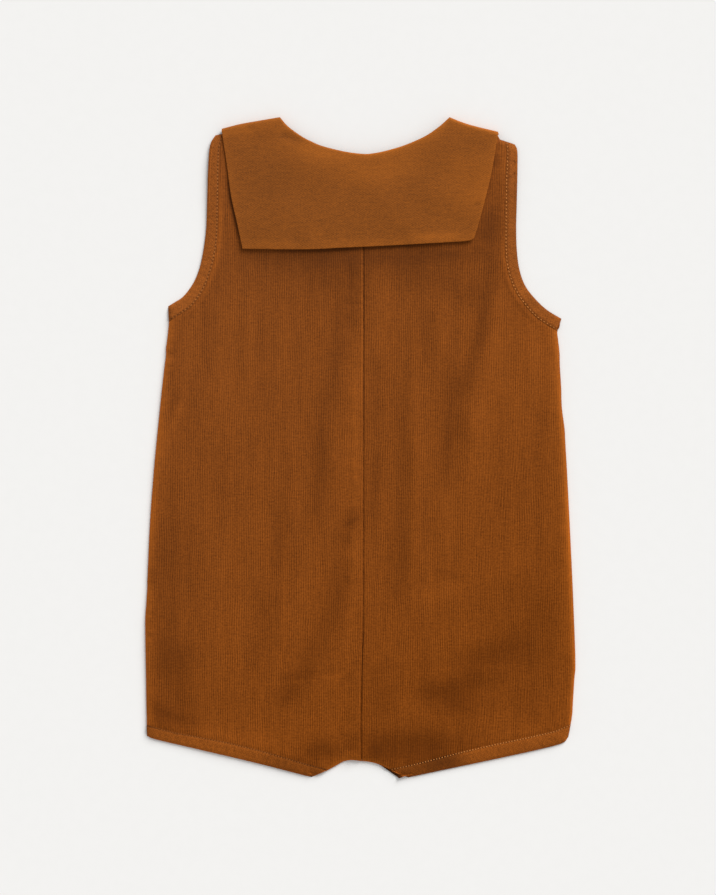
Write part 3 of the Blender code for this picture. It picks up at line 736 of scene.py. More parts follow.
def ripple(along, waves, more_seed=0):
    """An uneven wave along a seam. Seams that share their waves draw them with a seed of their own."""
    height, spacing, seed = waves
    chance = np.random.default_rng(seed + more_seed)
    wave = np.zeros_like(along)
    for share in WAVE_SHARES:
        wave += np.sin(2 * np.pi * along / (spacing * share) + chance.uniform(0, 2 * np.pi))
    return height * np.tanh(wave * WAVE_SHARPNESS)


def unevenness(points, height, spacing, seed):
    """Soft random ground, about this much up and down, whose hills are about this far apart."""
    chance = np.random.default_rng(seed)
    ground = np.zeros(len(points))
    for _ in range(HILL_WAVES):
        turn = chance.uniform(0, np.pi)
        direction = np.array([np.cos(turn), np.sin(turn)]) / (spacing * chance.uniform(*HILL_SPREAD))
        ground += np.sin(2 * np.pi * points @ direction + chance.uniform(0, 2 * np.pi))
    return height * (ground / np.sqrt(HILL_WAVES / 2))


def folds(points, table):
    """The height of a set of soft folds, each uneven along its length and dying away at both ends."""
    height = np.zeros(len(points))
    for number, (line, width, rise) in enumerate(table):
        line = smooth(line, FOLD_CUTS) if len(line) > 2 else np.array(line, float)
        away, along, _ = nearest_on(line, points)
        near = away < FOLD_REACH * width
        if near.any():
            from_end = np.minimum(along, total(line) - along)[near] / total(line)
            strength = FOLD_LEAST + (1 - FOLD_LEAST) * ease(from_end / FOLD_FADE)
            strength += unevenness(points[near], *FOLD_GROUND, number)
            height[near] += rise * np.exp(-((away[near] / width) ** 2)) * strength
    return height


def layer_scale(front_layer):
    """The front is cut a little smaller than the back."""
    return np.array(FRONT_SCALE if front_layer else (1, 1))


def edge_of(table, side):
    """One side's edge, rounded through its points."""
    return smooth(column_pair(table, side))


def back_seam():
    return smooth(BACK_SEAM)


def shoulder_edge(side):
    """The panels' shoulder, from its tip to the neck."""
    neck = np.array(NECK_FOLD[0 if side == LEFT else -1]) - (0, NECK_DROP)
    return np.array([column_pair(ARMHOLE, side)[0], neck])


def hem_edges(side, front_layer):
    """A layer's leg and crotch edges."""
    if front_layer and side == RIGHT:
        return smooth(FRONT_RIGHT_LEG), smooth(FRONT_RIGHT_CROTCH)
    leg, crotch = (edge_of(table, side) * layer_scale(front_layer) for table in (LEG, CROTCH))
    return leg, crotch


def widths_along(line, table, side):
    """A width that changes along an edge, at each of its points."""
    along = distances_along(line)
    table = np.array(table)
    return np.interp(along / along[-1], table[:, 0], table[:, 1 + side])


def inner_line(line, side, widths, before, after):
    """A line at these widths inside an edge, carried on to the edges that come before and after it."""
    ahead = np.gradient(line, axis=0)
    ahead /= np.linalg.norm(ahead, axis=1)[:, None]
    turn = 1 if side == LEFT else -1
    inward = turn * np.column_stack([-ahead[:, 1], ahead[:, 0]])
    along = distances_along(line)
    kept = np.flatnonzero((along > CORNER_ROUND) & (along < along[-1] - CORNER_ROUND))
    ends = []
    for place, adjoining in ((kept[0], before), (kept[-1], after)):
        reach = np.maximum.accumulate((adjoining - line[place]) @ inward[place])
        ends.append([np.interp(widths[place], reach, adjoining[:, k]) for k in (0, 1)])
    return np.vstack([ends[0], line[kept] + inward[kept] * widths[kept, None], ends[1]])


def armhole_line(side, past_stitch=0.0, front_layer=False):
    """The row of stitches round an armhole, or a line this far inside it."""
    edge = edge_of(ARMHOLE, side)
    widths = widths_along(edge, ARMHOLE_STITCH, side) + past_stitch
    line = inner_line(edge, side, widths, shoulder_edge(side), edge_of(SIDE, side))
    return line * layer_scale(front_layer)


def leg_line(side, past_stitch=0.0, front_layer=False):
    """The row of stitches along a leg, or a line this far inside it."""
    leg, crotch = hem_edges(side, front_layer)
    seam = edge_of(SIDE, side)[::-1] * layer_scale(front_layer)
    widths = widths_along(leg, LEG_STITCH, side) + past_stitch
    return inner_line(leg, side, widths, seam, crotch)


def collar_end_sides(side):
    """The neck side and the outer side of one collar end, from the shoulder to the V."""
    table = np.array(COLLAR_END)
    neck, outer = table[:, :2], table[:, 2:]
    fold = column_pair(FLAP_SHOULDER, side) - (0, SHOULDER_TURN)
    if side == RIGHT:
        mirror = np.array([-1, 1])
        neck, outer = (part * mirror + (2 * COLLAR_CENTRE, 0) for part in (neck, outer))
    return np.vstack([fold[-1], neck]), np.vstack([fold[0], outer])


def collar_end_lift(points):
    """How much the collar's ends under the front raise what lies over them."""
    lift = np.zeros(len(points))
    for side in SIDES:
        outer = collar_end_sides(side)[1]
        order = np.argsort(outer[:, 0])
        above = points[:, 1] > np.interp(points[:, 0], outer[order, 0], outer[order, 1])
        half = points[:, 0] < COLLAR_CENTRE if side == LEFT else points[:, 0] >= COLLAR_CENTRE
        away = np.where(above & half, 0, distance_to(outer, points))
        lift = np.maximum(lift, END_LIFT * ease(1 - (away - END_MARGIN) / END_FADE))
    return lift


def back_top(points):
    """Height of the back's outer face where nothing turns down."""
    top = BACK_TOP + folds(points, BACK_FOLDS) + unevenness(points, *BACK_GROUND)
    return np.maximum(top, LOWEST_BACK) + collar_end_lift(points)


def back_height(points):
    """Height of the back's outer face, turned down round the sides, the shoulders and the crotch."""
    top = back_top(points)
    bottom = SIDE_EDGE_TOP + collar_end_lift(points)
    turned = [edge_of(SIDE, side) for side in SIDES]
    turned += [at_shares(shoulder_edge(side), (0, SHOULDER_TURNED)) for side in SIDES]
    height = bottom + (top - bottom) * rolled(distance_to_any(turned, points), SIDE_ROLL)
    for table, drop in ((ARMHOLE, ARMHOLE_DROP), (LEG, LEG_DROP)):
        inset = distance_to_any([edge_of(table, side) for side in SIDES], points)
        height -= drop * (height / BACK_TOP) * ease(1 - inset / BINDING_SLOPE)
    crotch = distance_to_any([edge_of(CROTCH, side) for side in SIDES], points)
    return height - CROTCH_DROP * (1 - rolled(crotch, CROTCH_ROLL))


def beside_bindings(points, side):
    """The back sinks where it runs on under a binding, and turned-in cloth makes a ridge beside it."""
    height = np.zeros(len(points))
    turn = 1 if side == LEFT else -1
    for line_of, ridge in ((armhole_line, ARMHOLE_RIDGE), (leg_line, LEG_RIDGE)):
        line = line_of(side, FOLD_PAST_STITCH)
        away, along, hand = nearest_on(line, points)
        inward = away * hand * turn
        height -= PANEL_TUCK * ease(1 - inward / TUCK_SLOPE)
        from_end = np.minimum(along, total(line) - along)
        height += ease(from_end / RIDGE_FADE) * strip(inward, *ridge)
        puckers = ripple(along, BINDING_PUCKERS, side) * strip(inward, *PUCKERED_BESIDE_BINDING)
        height += puckers * (inward > 0)
    return height


def beside_back_seam(points, side):
    """The centre back seam's groove and puckers, and its allowance, which is pressed to the left."""
    away, along, _ = nearest_on(back_seam(), points)
    height = strip(away, *SEAM_GROOVES[side])
    below_collar = rising(along, *BELOW_COLLAR)
    if side == LEFT:
        inside = ease((ALLOWANCE_WIDTH - away + ripple(along, ALLOWANCE_EDGE)) / ALLOWANCE_SLOPE)
        shown = UNDER_COLLAR + (1 - UNDER_COLLAR) * below_collar
        height += ALLOWANCE_HEIGHT * inside * shown * ease(away / ALLOWANCE_RISE)
        marks = ripple(along, ALLOWANCE_MARKS) * strip(away, *MARKED_BY_ALLOWANCE)
        height += marks * below_collar * rising(away, *MARKS_FROM)
    return height + ripple(along, SEAM_PUCKERS, side) * strip(away, *PUCKERED_BESIDE_SEAM) * below_collar


def beside_side_seam(points, side):
    """The side seams draw the cloth into small scallops, and the right one shows above the leg."""
    away, along, _ = nearest_on(edge_of(SIDE, side), points)
    if side == RIGHT:
        groove = strip(distance_to(np.array(SHOWING_SIDE_SEAM), points), *SHOWING_SEAM_GROOVE)
        return ripple(along, RIGHT_SCALLOPS) * strip(away, *RIGHT_SCALLOPED) + groove
    drawn = sum(strip(along, *place) for place in LEFT_SIDE_DRAWN) + LEFT_SIDE_DRAWN_LEAST
    return drawn * ripple(along, LEFT_SCALLOPS) * strip(away, *LEFT_SCALLOPED)


def cut_from(line, point):
    """The part of a line past the place nearest to a point, starting at that point."""
    nearest = np.argmin(np.linalg.norm(line - point, axis=1))
    return np.vstack([point, line[nearest + 1 :]])


def coons(west, east, north, south, across, down):
    """Points of a four-sided patch: a list of rows from north to south."""
    across, down = np.asarray(across)[None, :, None], np.asarray(down)[:, None, None]
    west, east = west[:, None], east[:, None]
    ruled = west * (1 - across) + east * across
    top = north - (north[0] * (1 - across) + north[-1] * across)
    bottom = south - (south[0] * (1 - across) + south[-1] * across)
    return ruled + top * (1 - down) + bottom * down


def by_x(line, shares):
    """Points of a line at these shares of its extent in x."""
    order = np.argsort(line[:, 0])
    x = line[0, 0] + (line[-1, 0] - line[0, 0]) * np.asarray(shares)
    return np.column_stack([x, np.interp(x, line[order, 0], line[order, 1])])


def down_shares(edge):
    return (edge[0, 1] - edge[:, 1]) / (edge[0, 1] - edge[-1, 1])


def spread(length, cell, start=(0,), end=(0,)):
    """Distances along a length: even cells, with closer ones at its ends."""
    tail = length - np.array(end[::-1], float)
    count = int(np.ceil((tail[0] - start[-1]) / cell))
    middle = np.linspace(start[-1], tail[0], count + 1)
    return np.concatenate([start[:-1], middle, tail[1:]])


def raised(flat, heights):
    """Rows of plan points given the heights that a function works out."""
    rows, columns = flat.shape[:2]
    return np.dstack([flat, heights(flat.reshape(-1, 2)).reshape(rows, columns)])


def plan_of(points):
    return points[:, :, :2].reshape(-1, 2)


def laid_out(points):
    """Each point's place on the flat cloth, its row laid out sideways from the centre seam."""
    steps = np.diff(points, axis=1)
    level = np.abs(steps[:, :, 0]) + TINY_STEP
    steps = np.sign(steps[:, :, 0]) * np.hypot(level, steps[:, :, 2])
    seam = points[:, -1:, 0]
    run = seam - np.cumsum(steps[:, ::-1], axis=1)[:, ::-1]
    return np.dstack([np.hstack([run, seam]), points[:, :, 1]])


def panel_edges(side, front_layer=False):
    """A panel's own edges: armhole and leg, both under their bindings, and the side between them."""
    armhole = armhole_line(side, PANEL_EDGE, front_layer)
    hem = leg_line(side, PANEL_EDGE, front_layer)
    seam = cut_from(edge_of(SIDE, side) * layer_scale(front_layer), armhole[-1])
    return armhole, np.vstack([seam[seam[:, 1] > hem[0, 1]], hem[0]]), hem


def back_half(side):
    """One half of the back: rows from its side to the centre seam, from its shoulder to its crotch."""
    armhole, seam, hem = panel_edges(side)
    upper = walk(armhole, spread(total(armhole), BODY_CELL))
    lower = walk(seam, spread(total(seam), BODY_CELL, (0,), CLOSE))
    outer = np.vstack([upper, lower[1:]])
    down = down_shares(outer)
    turn = 1 if side == LEFT else -1
    middle = back_seam() - (turn * SEAM_GAP / 2, 0)
    y = middle[0, 1] + (middle[-1, 1] - middle[0, 1]) * down
    centre = np.column_stack([np.interp(-y, -middle[:, 1], middle[:, 0]), y])
    neck = smooth(NECK_FOLD) - (0, NECK_DROP)
    neck = neck[neck[:, 0] < centre[0, 0]] if side == LEFT else neck[neck[:, 0] > centre[0, 0]][::-1]
    top = np.vstack([outer[0], neck, centre[0]])
    crotch = cut_from(edge_of(CROTCH, side), hem[-1])
    crotch = crotch[(crotch[:, 0] - centre[-1, 0]) * turn < 0]
    bottom = np.vstack([hem, crotch[1:], centre[-1]])
    width = abs(centre[-1, 0] - outer[-1, 0])
    across = spread(width, BODY_CELL, CLOSE_ROLL, CLOSE) / width
    flat = coons(outer, centre, by_x(top, across), by_x(bottom, across), across, down)

    def sewn(points):
        sewing = (beside_bindings, beside_back_seam, beside_side_seam)
        return back_height(points) + sum(part(points, side) for part in sewing)

    points = raised(flat, sewn)
    return points, laid_out(points)


def front_seat(points):
    """Height of the front's outer face, which looks down and draws in behind its bindings."""
    height = FRONT_SEAT + BAND_LAP + collar_end_lift(points)
    for side in SIDES:
        for line_of in (armhole_line, leg_line):
            line = line_of(side, FOLD_PAST_STITCH, front_layer=True)
            height += PANEL_TUCK * ease(1 - distance_to(line, points) / FRONT_TUCK_SLOPE)
    return height


def front_panel():
    """The whole front, with a V neck, lying with its outer face down."""
    edges, tops, bottoms = [], [], []
    for side in SIDES:
        armhole, seam, hem = panel_edges(side, front_layer=True)
        upper = at_shares(armhole, np.linspace(0, 1, FRONT_ARMHOLE_ROWS + 1))
        lower = at_shares(seam, np.linspace(0, 1, FRONT_SIDE_ROWS + 1))
        edge = np.vstack([upper, lower[1:]])
        neck = collar_end_sides(side)[0]
        neck[0] = shoulder_edge(side)[1] * FRONT_SCALE
        crotch = cut_from(hem_edges(side, front_layer=True)[1], hem[-1])
        edges.append(edge)
        tops.append(np.vstack([edge[0], neck]))
        bottoms.append(np.vstack([edge[-1], hem[1:], crotch[1:]]))
    west, east = edges
    top = np.vstack([tops[LEFT], tops[RIGHT][::-1]])
    bottom = np.vstack([bottoms[LEFT], bottoms[RIGHT][-2::-1]])
    across = np.linspace(0, 1, FRONT_COLUMNS + 1)
    down = (down_shares(west) + down_shares(east)) / 2
    flat = coons(west, east, by_x(top, across), by_x(bottom, across), across, down)
    return raised(flat, front_seat), flat


def hole_distance(along, away, pitch):
    """Distance from the nearest needle hole of a row of stitches."""
    past = np.abs((along / pitch + 0.5) % 1 - 0.5) * pitch
    return np.hypot(past, away)


def band_relief(points, edge, row, fold, pitch):
    """Height of a binding's face over its seat: its edges, crown, puckers and sunk row of stitches."""
    outer_inset, inner_inset = distance_to(edge, points), distance_to(fold, points)
    away, along, _ = nearest_on(row, points)
    relief = -BAND_EDGE_DROP * (1 - rolled(outer_inset, BAND_EDGE_ROLL))
    relief -= LIP_DROP * (1 - rolled(inner_inset, LIP_ROLL))
    crown = ease(outer_inset / BAND_CROWN_SLOPE) * ease(inner_inset / BAND_CROWN_SLOPE)
    relief += BAND_CROWN * crown
    own_seed = int(abs(row[0, 0]) * 10) + int(abs(row[0, 1]))
    relief += crown * ripple(along + PUCKER_SLANT * outer_inset, BAND_PUCKERS, own_seed)
    fine = ripple(along + FINE_PUCKER_SLANT * outer_inset, BAND_FINE_PUCKERS, own_seed)
    relief += ease(outer_inset / FINE_PUCKERS_FROM_EDGE) * fine
    relief += strip(away, *STITCH_CHANNEL)
    relief -= strip(hole_distance(along, away, pitch), HOLE_DEPTH, 0, HOLE_WIDTH)
    return relief + folds(points, BAND_FOLDS)


def band(lines, trim, seat, up, sewing):
    """A binding from its outer edge to its folded one: its points, its flat cloth and its painted shade
    and light.
    """
    edge, row, fold = lines
    pitch, _, _, hole_tone, ditch, rim, lip = sewing
    length = total(fold)
    shares = trim[0] / length + spread(length, BAND_CELL) / length * (1 - sum(trim) / length)
    outer, inner = at_shares(edge, shares), at_shares(fold, shares)
    width = np.median(np.linalg.norm(outer - inner, axis=1))
    across = (spread(width, BAND_CELL, CLOSE_EDGE, CLOSE_EDGE) / width)[:, None, None]
    flat = outer[None] * (1 - across) + inner[None] * across
    plan = flat.reshape(-1, 2)
    surface = seat(plan) + up * band_relief(plan, *lines, pitch)
    away, along, hand = nearest_on(row, plan)
    pattern = np.column_stack([away * hand, along]).reshape(*flat.shape[:2], 2)
    # Painted shade in the needle holes, along the row and in the line beside it, painted highlights at
    # its outer edge and painted shade at its folded edge.
    painted_tone = strip(hole_distance(along, away, pitch), hole_tone, 0, HOLE_WIDTH)
    painted_tone += strip(away, *STITCH_ROW_TONE) + folds(plan, BAND_PAINTED_SHADE_AND_LIGHT)
    painted_tone += strip(away * hand, ditch, *DITCH_PLACE)
    painted_tone += rims(distance_to(edge, plan), (rim, BAND_RIM_REACH))
    painted_tone += rims(distance_to(fold, plan), (lip, BAND_LIP_REACH))
    return np.dstack([flat, surface.reshape(flat.shape[:2])]), pattern, painted_tone.reshape(flat.shape[:2])


def back_band_seat(points):
    return back_height(points) + BAND_LAP


def front_band_seat(points):
    return FRONT_SEAT + collar_end_lift(points)


def flap_edges():
    """The flap's free edges: left, right and lower."""
    return *(edge_of(FLAP_SIDE, side) for side in SIDES), smooth(FLAP_BOTTOM)


def flap_height(points):
    """Height of the collar flap's outer face, lifted a little along its free edges."""
    x, y = points[:, 0], points[:, 1]
    left, right, hem = (distance_to(edge, points) for edge in flap_edges())
    inset = np.min([left, right, hem], axis=0)
    pressed = rising(y, *FLAP_PRESSED_FROM)
    height = back_top(points) + COLLAR_SHELL + FLAP_CLEARANCE * (1 - FLAP_PRESSED * pressed)
    height += rims(inset, FLAP_EDGE_LIFT) * (1 - pressed) + rims(left, FLAP_LEFT_LIFT)
    lobes = sum(strip(x, *lobe) for lobe in HEM_LOBES)
    height += rims(hem, (HEM_LIFT + LOBE_LIFT * lobes, HEM_REACH))
    height += rims(hem, (ripple(x, HEM_WAVES), HEM_WAVE_REACH))
    height += rims(np.minimum(left, right), (ripple(y, SIDE_WAVES), SIDE_WAVE_REACH))
    height += folds(points, FLAP_FOLDS) + unevenness(points, *FLAP_GROUND)
    return height - COLLAR_EDGE_DROP * (1 - rolled(inset, COLLAR_EDGE_ROLL))


def collar_columns(left, right):
    """Shares across the collar, and the columns where its neck begins and ends."""
    width = right[0, 0] - left[0, 0]
    neck_from, neck_to = (shoulder[-1, 0] - left[0, 0] for shoulder in (left, right))
    west = spread(neck_from, COLLAR_CELL, CLOSE_EDGE)
    east = width - spread(width - neck_to, COLLAR_CELL, CLOSE_EDGE)[::-1]
    middle = neck_from + spread(neck_to - neck_from, COLLAR_CELL)
    across = np.concatenate([west[:-1], middle, east[1:]]) / width
    return across, len(west) - 1, len(across) - len(east)


def flap(fold, bulge, across):
    """The rows of the flap, from its folds over the shoulders and the neck down to its free edge."""
    north = fold - np.column_stack([np.zeros(len(fold)), bulge])
    west, east, south = flap_edges()
    down = spread(total(west), COLLAR_CELL, (0,), CLOSE_EDGE) / total(west)
    sides = []
    for line, corner in ((west, north[0]), (east, north[-1])):
        below = line[line[:, 1] < corner[1] - CORNER_CLEARANCE]
        sides.append(at_shares(np.vstack([corner, below]), down))
    return raised(coons(*sides, north, by_x(south, across), across, down), flap_height)


def collar_ends(across, neck_from, neck_to):
    """The rows of the two tapering ends under the front, from the shoulders to the V, over their seat."""
    ends = np.zeros((END_CUTS * len(COLLAR_END), len(across), 3))
    for side in SIDES:
        neck, outer = (smooth(line, END_CUTS) for line in collar_end_sides(side))
        columns = slice(0, neck_from + 1)
        share = across[columns] / across[neck_from]
        if side == RIGHT:
            columns = slice(neck_to, None)
            share = (1 - across[columns]) / (1 - across[neck_to])
        to_neck = share[None, :, None]
        ends[:, columns, :2] = outer[1:, None] * (1 - to_neck) + neck[1:, None] * to_neck
        inset = np.minimum(share, 1 - share) * np.linalg.norm(outer - neck, axis=1)[1:, None]
        ends[:, columns, 2] = END_EDGE_RISE * (1 - rolled(inset, END_EDGE_ROLL))
    return ends


def collar_pattern(points, flap_start):
    """The collar's flat cloth: the flap as it lies, and the rows before it laid out beyond its fold."""
    steps = np.linalg.norm(np.diff(points[: flap_start + 1], axis=0), axis=2)
    beyond = points[flap_start, :, 1] + np.cumsum(steps[::-1], axis=0)[::-1]
    aside = points[:, :, 0].copy()
    aside[:flap_start] = points[flap_start, :, 0]
    return np.dstack([aside, np.vstack([beyond, points[flap_start:, :, 1]])])


def collar_painted_tone(points, fold):
    """The collar's painted light and shade: painted highlights at its edges and painted light round the
    turned neck, where its fold catches the light.
    """
    plan = plan_of(points)
    left, right, hem = (distance_to(edge, plan) for edge in flap_edges())
    turned = distance_to(fold, plan)
    rightward = rising(plan[:, 0], *NECK_RIGHT)
    tone = folds(plan, FLAP_PAINTED_SHADE_AND_LIGHT) + rims(hem, FLAP_HEM_RIM)
    tone += rims(left, FLAP_LEFT_RIM) + rims(right, FLAP_RIGHT_RIM) + rims(turned, NECK_RIM)
    tone += rightward * rims(turned, NECK_RIGHT_RIM) + (1 - rightward) * strip(turned, *NECK_PALE_BAND)
    return tone.reshape(points.shape[:2])


def collar():
    """The flap on the back, its folds over the shoulders and round the neck, and its two front ends."""
    left, right = (column_pair(FLAP_SHOULDER, side) for side in SIDES)
    across, neck_from, neck_to = collar_columns(left, right)
    column = np.arange(len(across))
    into_neck = np.minimum(column - neck_from, neck_to - column)
    turn = ease(into_neck / NECK_BLEND)
    bulge = SHOULDER_TURN + (NECK_TURN - SHOULDER_TURN) * turn
    fold = by_x(np.vstack([smooth(left)[:-1], smooth(NECK_FOLD), smooth(right)[::-1][1:]]), across)
    back = flap(fold, bulge, across)
    drop = back[0, :, 2] / 2 * (1 - turn) + NECK_TURN * turn
    turned = []
    for angle in np.radians(TURN_ANGLES):
        row = np.column_stack([fold, back[0, :, 2]])
        row[:, 1] -= bulge * (1 - np.sin(angle))
        row[:, 2] -= drop * (1 - np.cos(angle))
        turned.append(row)
    ends = collar_ends(across, neck_from, neck_to)
    ends[:, :, 2] += turned[-1][:, 2].min()
    points = np.array([*ends[::-1], *turned[::-1], *back])
    rows = np.arange(len(points))[:, None]
    dropped = (rows < len(ends) + NECK_ROWS_LEFT_OUT) & (into_neck > 0)[None]
    return points, collar_pattern(points, len(ends) + len(turned)), collar_painted_tone(points, fold), dropped


def back_painted_tone(points, side):
    """The painted light and shade of each place of the back, deeper below 0 and paler above it."""
    plan = plan_of(points)
    edge = distance_to(edge_of(SIDE, side), plan)
    away, along, _ = nearest_on(back_seam(), plan)
    # Painted shade and light from the table, and painted shade in the centre seam's groove.
    tone = folds(plan, BACK_PAINTED_SHADE_AND_LIGHT) + strip(away, *SEAM_LINE)
    if side == LEFT:
        # Painted highlights along the rolled left edge.
        tone += rims(edge, *LEFT_SIDE_RIMS)
        # Painted light on the raised allowance, on the seam's folded edge and on the ridge inside the
        # armhole.
        on_allowance = falling(away, *ALLOWANCE_TONE_TO)
        on_allowance *= rising(along, *ALLOWANCE_TONE_TOP) * falling(along, *ALLOWANCE_TONE_FOOT)
        tone += ALLOWANCE_TONE * on_allowance
        tone += strip(away, *SEAM_PALE_LINE) * falling(along, *SEAM_PALE_LINE_TO)
        ridge = armhole_line(side, FOLD_PAST_STITCH + ARMHOLE_RIDGE_LINE)
        away, along, _ = nearest_on(ridge, plan)
        tone += strip(away, *ARMHOLE_RIDGE_TONE) * strip(along, *ARMHOLE_RIDGE_LIT)
    else:
        # Painted highlights along the right edge, stronger low down, and a thin painted shade at the edge
        # higher up.
        low = falling(plan[:, 1], *RIGHT_LOW)
        pale, reach = (high + (below - high) * low for high, below in zip(RIGHT_SIDE_RIM, RIGHT_LOW_RIM))
        tone += rims(edge, (pale, reach)) + (1 - low) * rims(edge, RIGHT_DEEP_RIM)
    # Painted highlights along the crotch.
    tone += rims(distance_to(edge_of(CROTCH, side), plan), *CROTCH_RIMS)
    return tone.reshape(points.shape[:2])


def front_corner_shadow(points):
    """Painted shadow on the front's right corner, which shows past the back and lies in its shade."""
    away = distance_to(np.array(FRONT_RIGHT_CROTCH[:4]), plan_of(points))
    return strip(away, *FRONT_CORNER_SHADOW).reshape(points.shape[:2])


def placed(name, data):
    """Puts a mesh, a lamp or a camera in the scene."""
    made = bpy.data.objects.new(name, data)
    bpy.context.scene.collection.objects.link(made)
    return made


def mesh_of(bm, name):
    mesh = bpy.data.meshes.new(name)
    bm.to_mesh(mesh)
    bm.free()
    return mesh


def thicken(sheet, shell):
    """Gives a sheet its thickness inside its outer face, kept just above the floor."""
    flat = sheet.data
    wall = sheet.modifiers.new("thickness", "SOLIDIFY")
    wall.thickness = shell * MM
    wall.offset = -1
    bpy.context.view_layer.update()
    thick = bpy.data.meshes.new_from_object(sheet.evaluated_get(bpy.context.evaluated_depsgraph_get()))
    sheet.modifiers.remove(wall)
    sheet.data = thick
    bpy.data.meshes.remove(flat)
    places = np.empty(len(thick.vertices) * 3)
    thick.vertices.foreach_get("co", places)
    places[2::3] = np.maximum(places[2::3], FLOOR_GAP * MM)
    thick.vertices.foreach_set("co", places)
    thick.shade_smooth()
    thick.set_sharp_from_angle(angle=np.radians(SHARP_ANGLE))


def cloth(name, points, pattern, painted_tone, shell, face_up, finish, dropped=None):
    """A named sheet of cloth: a grid moved onto rows of outer-face points, carrying its painted light and
    shade, then thickened.
    """
    rows, columns = points.shape[:2]
    bm = bmesh.new()
    tone = bm.verts.layers.float.new(PAINTED_TONE)
    bmesh.ops.create_grid(bm, x_segments=columns - 1, y_segments=rows - 1, size=1)
    places = {}
    for vertex in bm.verts:
        column = round((vertex.co.x + 1) / 2 * (columns - 1))
        row = round((1 - vertex.co.y) / 2 * (rows - 1))
        places[vertex] = (row, column)
        vertex.tag = dropped is not None and bool(dropped[row, column])
        # Each vertex carries the painted light and shade of its place.
        vertex[tone] = painted_tone[row, column]
        vertex.co = Vector(points[row, column]) * MM
    spot = bm.loops.layers.uv.new(CLOTH_MAP)
    for face in bm.faces:
        for loop in face.loops:
            loop[spot].uv = Vector(pattern[places[loop.vert]]) * MM
    bmesh.ops.delete(bm, geom=[vertex for vertex in bm.verts if vertex.tag], context="VERTS")
    bm.normal_update()
    facing = sum(face.normal.z * face.calc_area() for face in bm.faces)
    if (facing > 0) != face_up:
        bmesh.ops.reverse_faces(bm, faces=bm.faces)
    sheet = placed(name, mesh_of(bm, name))
    thicken(sheet, shell)
    sheet.data.materials.append(finish)
    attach(sheet, "root")
    return sheet


def cloth_area(points, dropped=None):
    """Area of the grid's own sheet, in square millimetres."""
    a, b = points[1:, 1:] - points[:-1, :-1], points[1:, :-1] - points[:-1, 1:]
    cells = np.linalg.norm(np.cross(a, b), axis=2) / 2
    if dropped is not None:
        cells = cells[~(dropped[1:, 1:] | dropped[:-1, :-1] | dropped[1:, :-1] | dropped[:-1, 1:])]
    return cells.sum()


def topstitch(name, row, face, up, sewing, thread):
    """A row of stitches, each a small lens of thread in its channel, with its seam's painted light and
    shade and painted shade towards the row's ends.
    """
    pitch, pull, painted_tone = sewing[:3]
    length = total(row)
    count = int(length / pitch)
    starts = np.arange(count) * pitch + pitch / 2
    chance = np.random.default_rng(count + int(abs(row[0, 1])))
    plan = [walk(row, starts + offset) for offset in (-0.5, 0.0, 0.5)]
    levels = [face(line) for line in plan]
    dull = 1 - ease(np.minimum(starts, length - starts) / STITCH_END_FADE)
    bm = bmesh.new()
    tone = bm.verts.layers.float.new(PAINTED_TONE)
    lying = Matrix.Rotation(np.pi / 2, 4, "Y")
    for before, middle, after, low, level, high, end_share in zip(*plan, *levels, dull):
        ahead = np.array([*(after - before), high - low])
        lean = chance.normal(0, STITCH_LEAN)
        turn = Matrix.Rotation(np.arctan2(ahead[1], ahead[0]) + lean, 4, "Z")
        tilt = Matrix.Rotation(-np.arctan2(ahead[2], np.hypot(*ahead[:2])), 4, "Y")
        long = STITCH_SHARE * pitch * chance.uniform(*STITCH_LENGTHS)
        size = Matrix.Diagonal((long, STITCH_WIDTH, STITCH_HEIGHT, 1))
        place = Matrix.Translation(Vector((*middle, level + up * (STITCH_SEAT - pull))) * MM)
        made = bmesh.ops.create_uvsphere(bm, radius=0.5 * MM, **STITCH_FACES)
        for move in (lying, size, place @ turn @ tilt):
            bmesh.ops.transform(bm, matrix=move, verts=made["verts"])
        # The seam's painted light and shade on its thread, painted shade towards the ends, and a random
        # spread.
        shade = painted_tone + STITCH_END_TONE * end_share + chance.normal(0, STITCH_TONES)
        for vertex in made["verts"]:
            vertex.co.z = max(vertex.co.z, THREAD_FLOOR_GAP * MM)
            vertex[tone] = shade
    stitches = placed(name, mesh_of(bm, name))
    stitches.data.shade_smooth()
    stitches.data.materials.append(thread)
    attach(stitches, "root")
    return stitches


def linear(colour):
    """An sRGB hex colour as linear red, green and blue, with full alpha."""
    parts = [int(colour[k : k + 2], 16) / 255 for k in (1, 3, 5)]
    parts = [part / 12.92 if part <= 0.04045 else ((part + 0.055) / 1.055) ** 2.4 for part in parts]
    return (*parts, 1)


def node(tree, kind, settings=None, **links):
    """Adds a node. A setting or link named or numbered for one of its sockets goes to that socket."""
    made = tree.nodes.new("ShaderNode" + kind)
    for name, value in (settings or {}).items():
        if isinstance(name, int) or name in made.inputs:
            made.inputs[name].default_value = value
        else:
            setattr(made, name, value)
    for name, source in links.items():
        socket = made.inputs[int(name[1:])] if name[1:].isdigit() else made.inputs[name.replace("_", " ")]
        tree.links.new(source, socket)
    return made


def new_material(name):
    made = bpy.data.materials.new(name)
    made.use_nodes = True
    tree = made.node_tree
    return made, tree, tree.nodes["Principled BSDF"]


def finished(shader, finish):
    """Sets how a surface takes the light."""
    for name, value in finish.items():
        shader.inputs[name].default_value = value


def per_metre(millimetres):
    """Noise scale whose features are about this size."""
    return 1000 / millimetres


def noise(millimetres, detail=SOFT):
    """Settings of a noise whose features are about this size."""
    return {"Scale": per_metre(millimetres), "Detail": detail}


def stripes(millimetres):
    """Settings of waves whose stripes are this far apart, on coordinates in metres."""
    return {"Scale": 2 * np.pi / 20 / (millimetres * MM)}


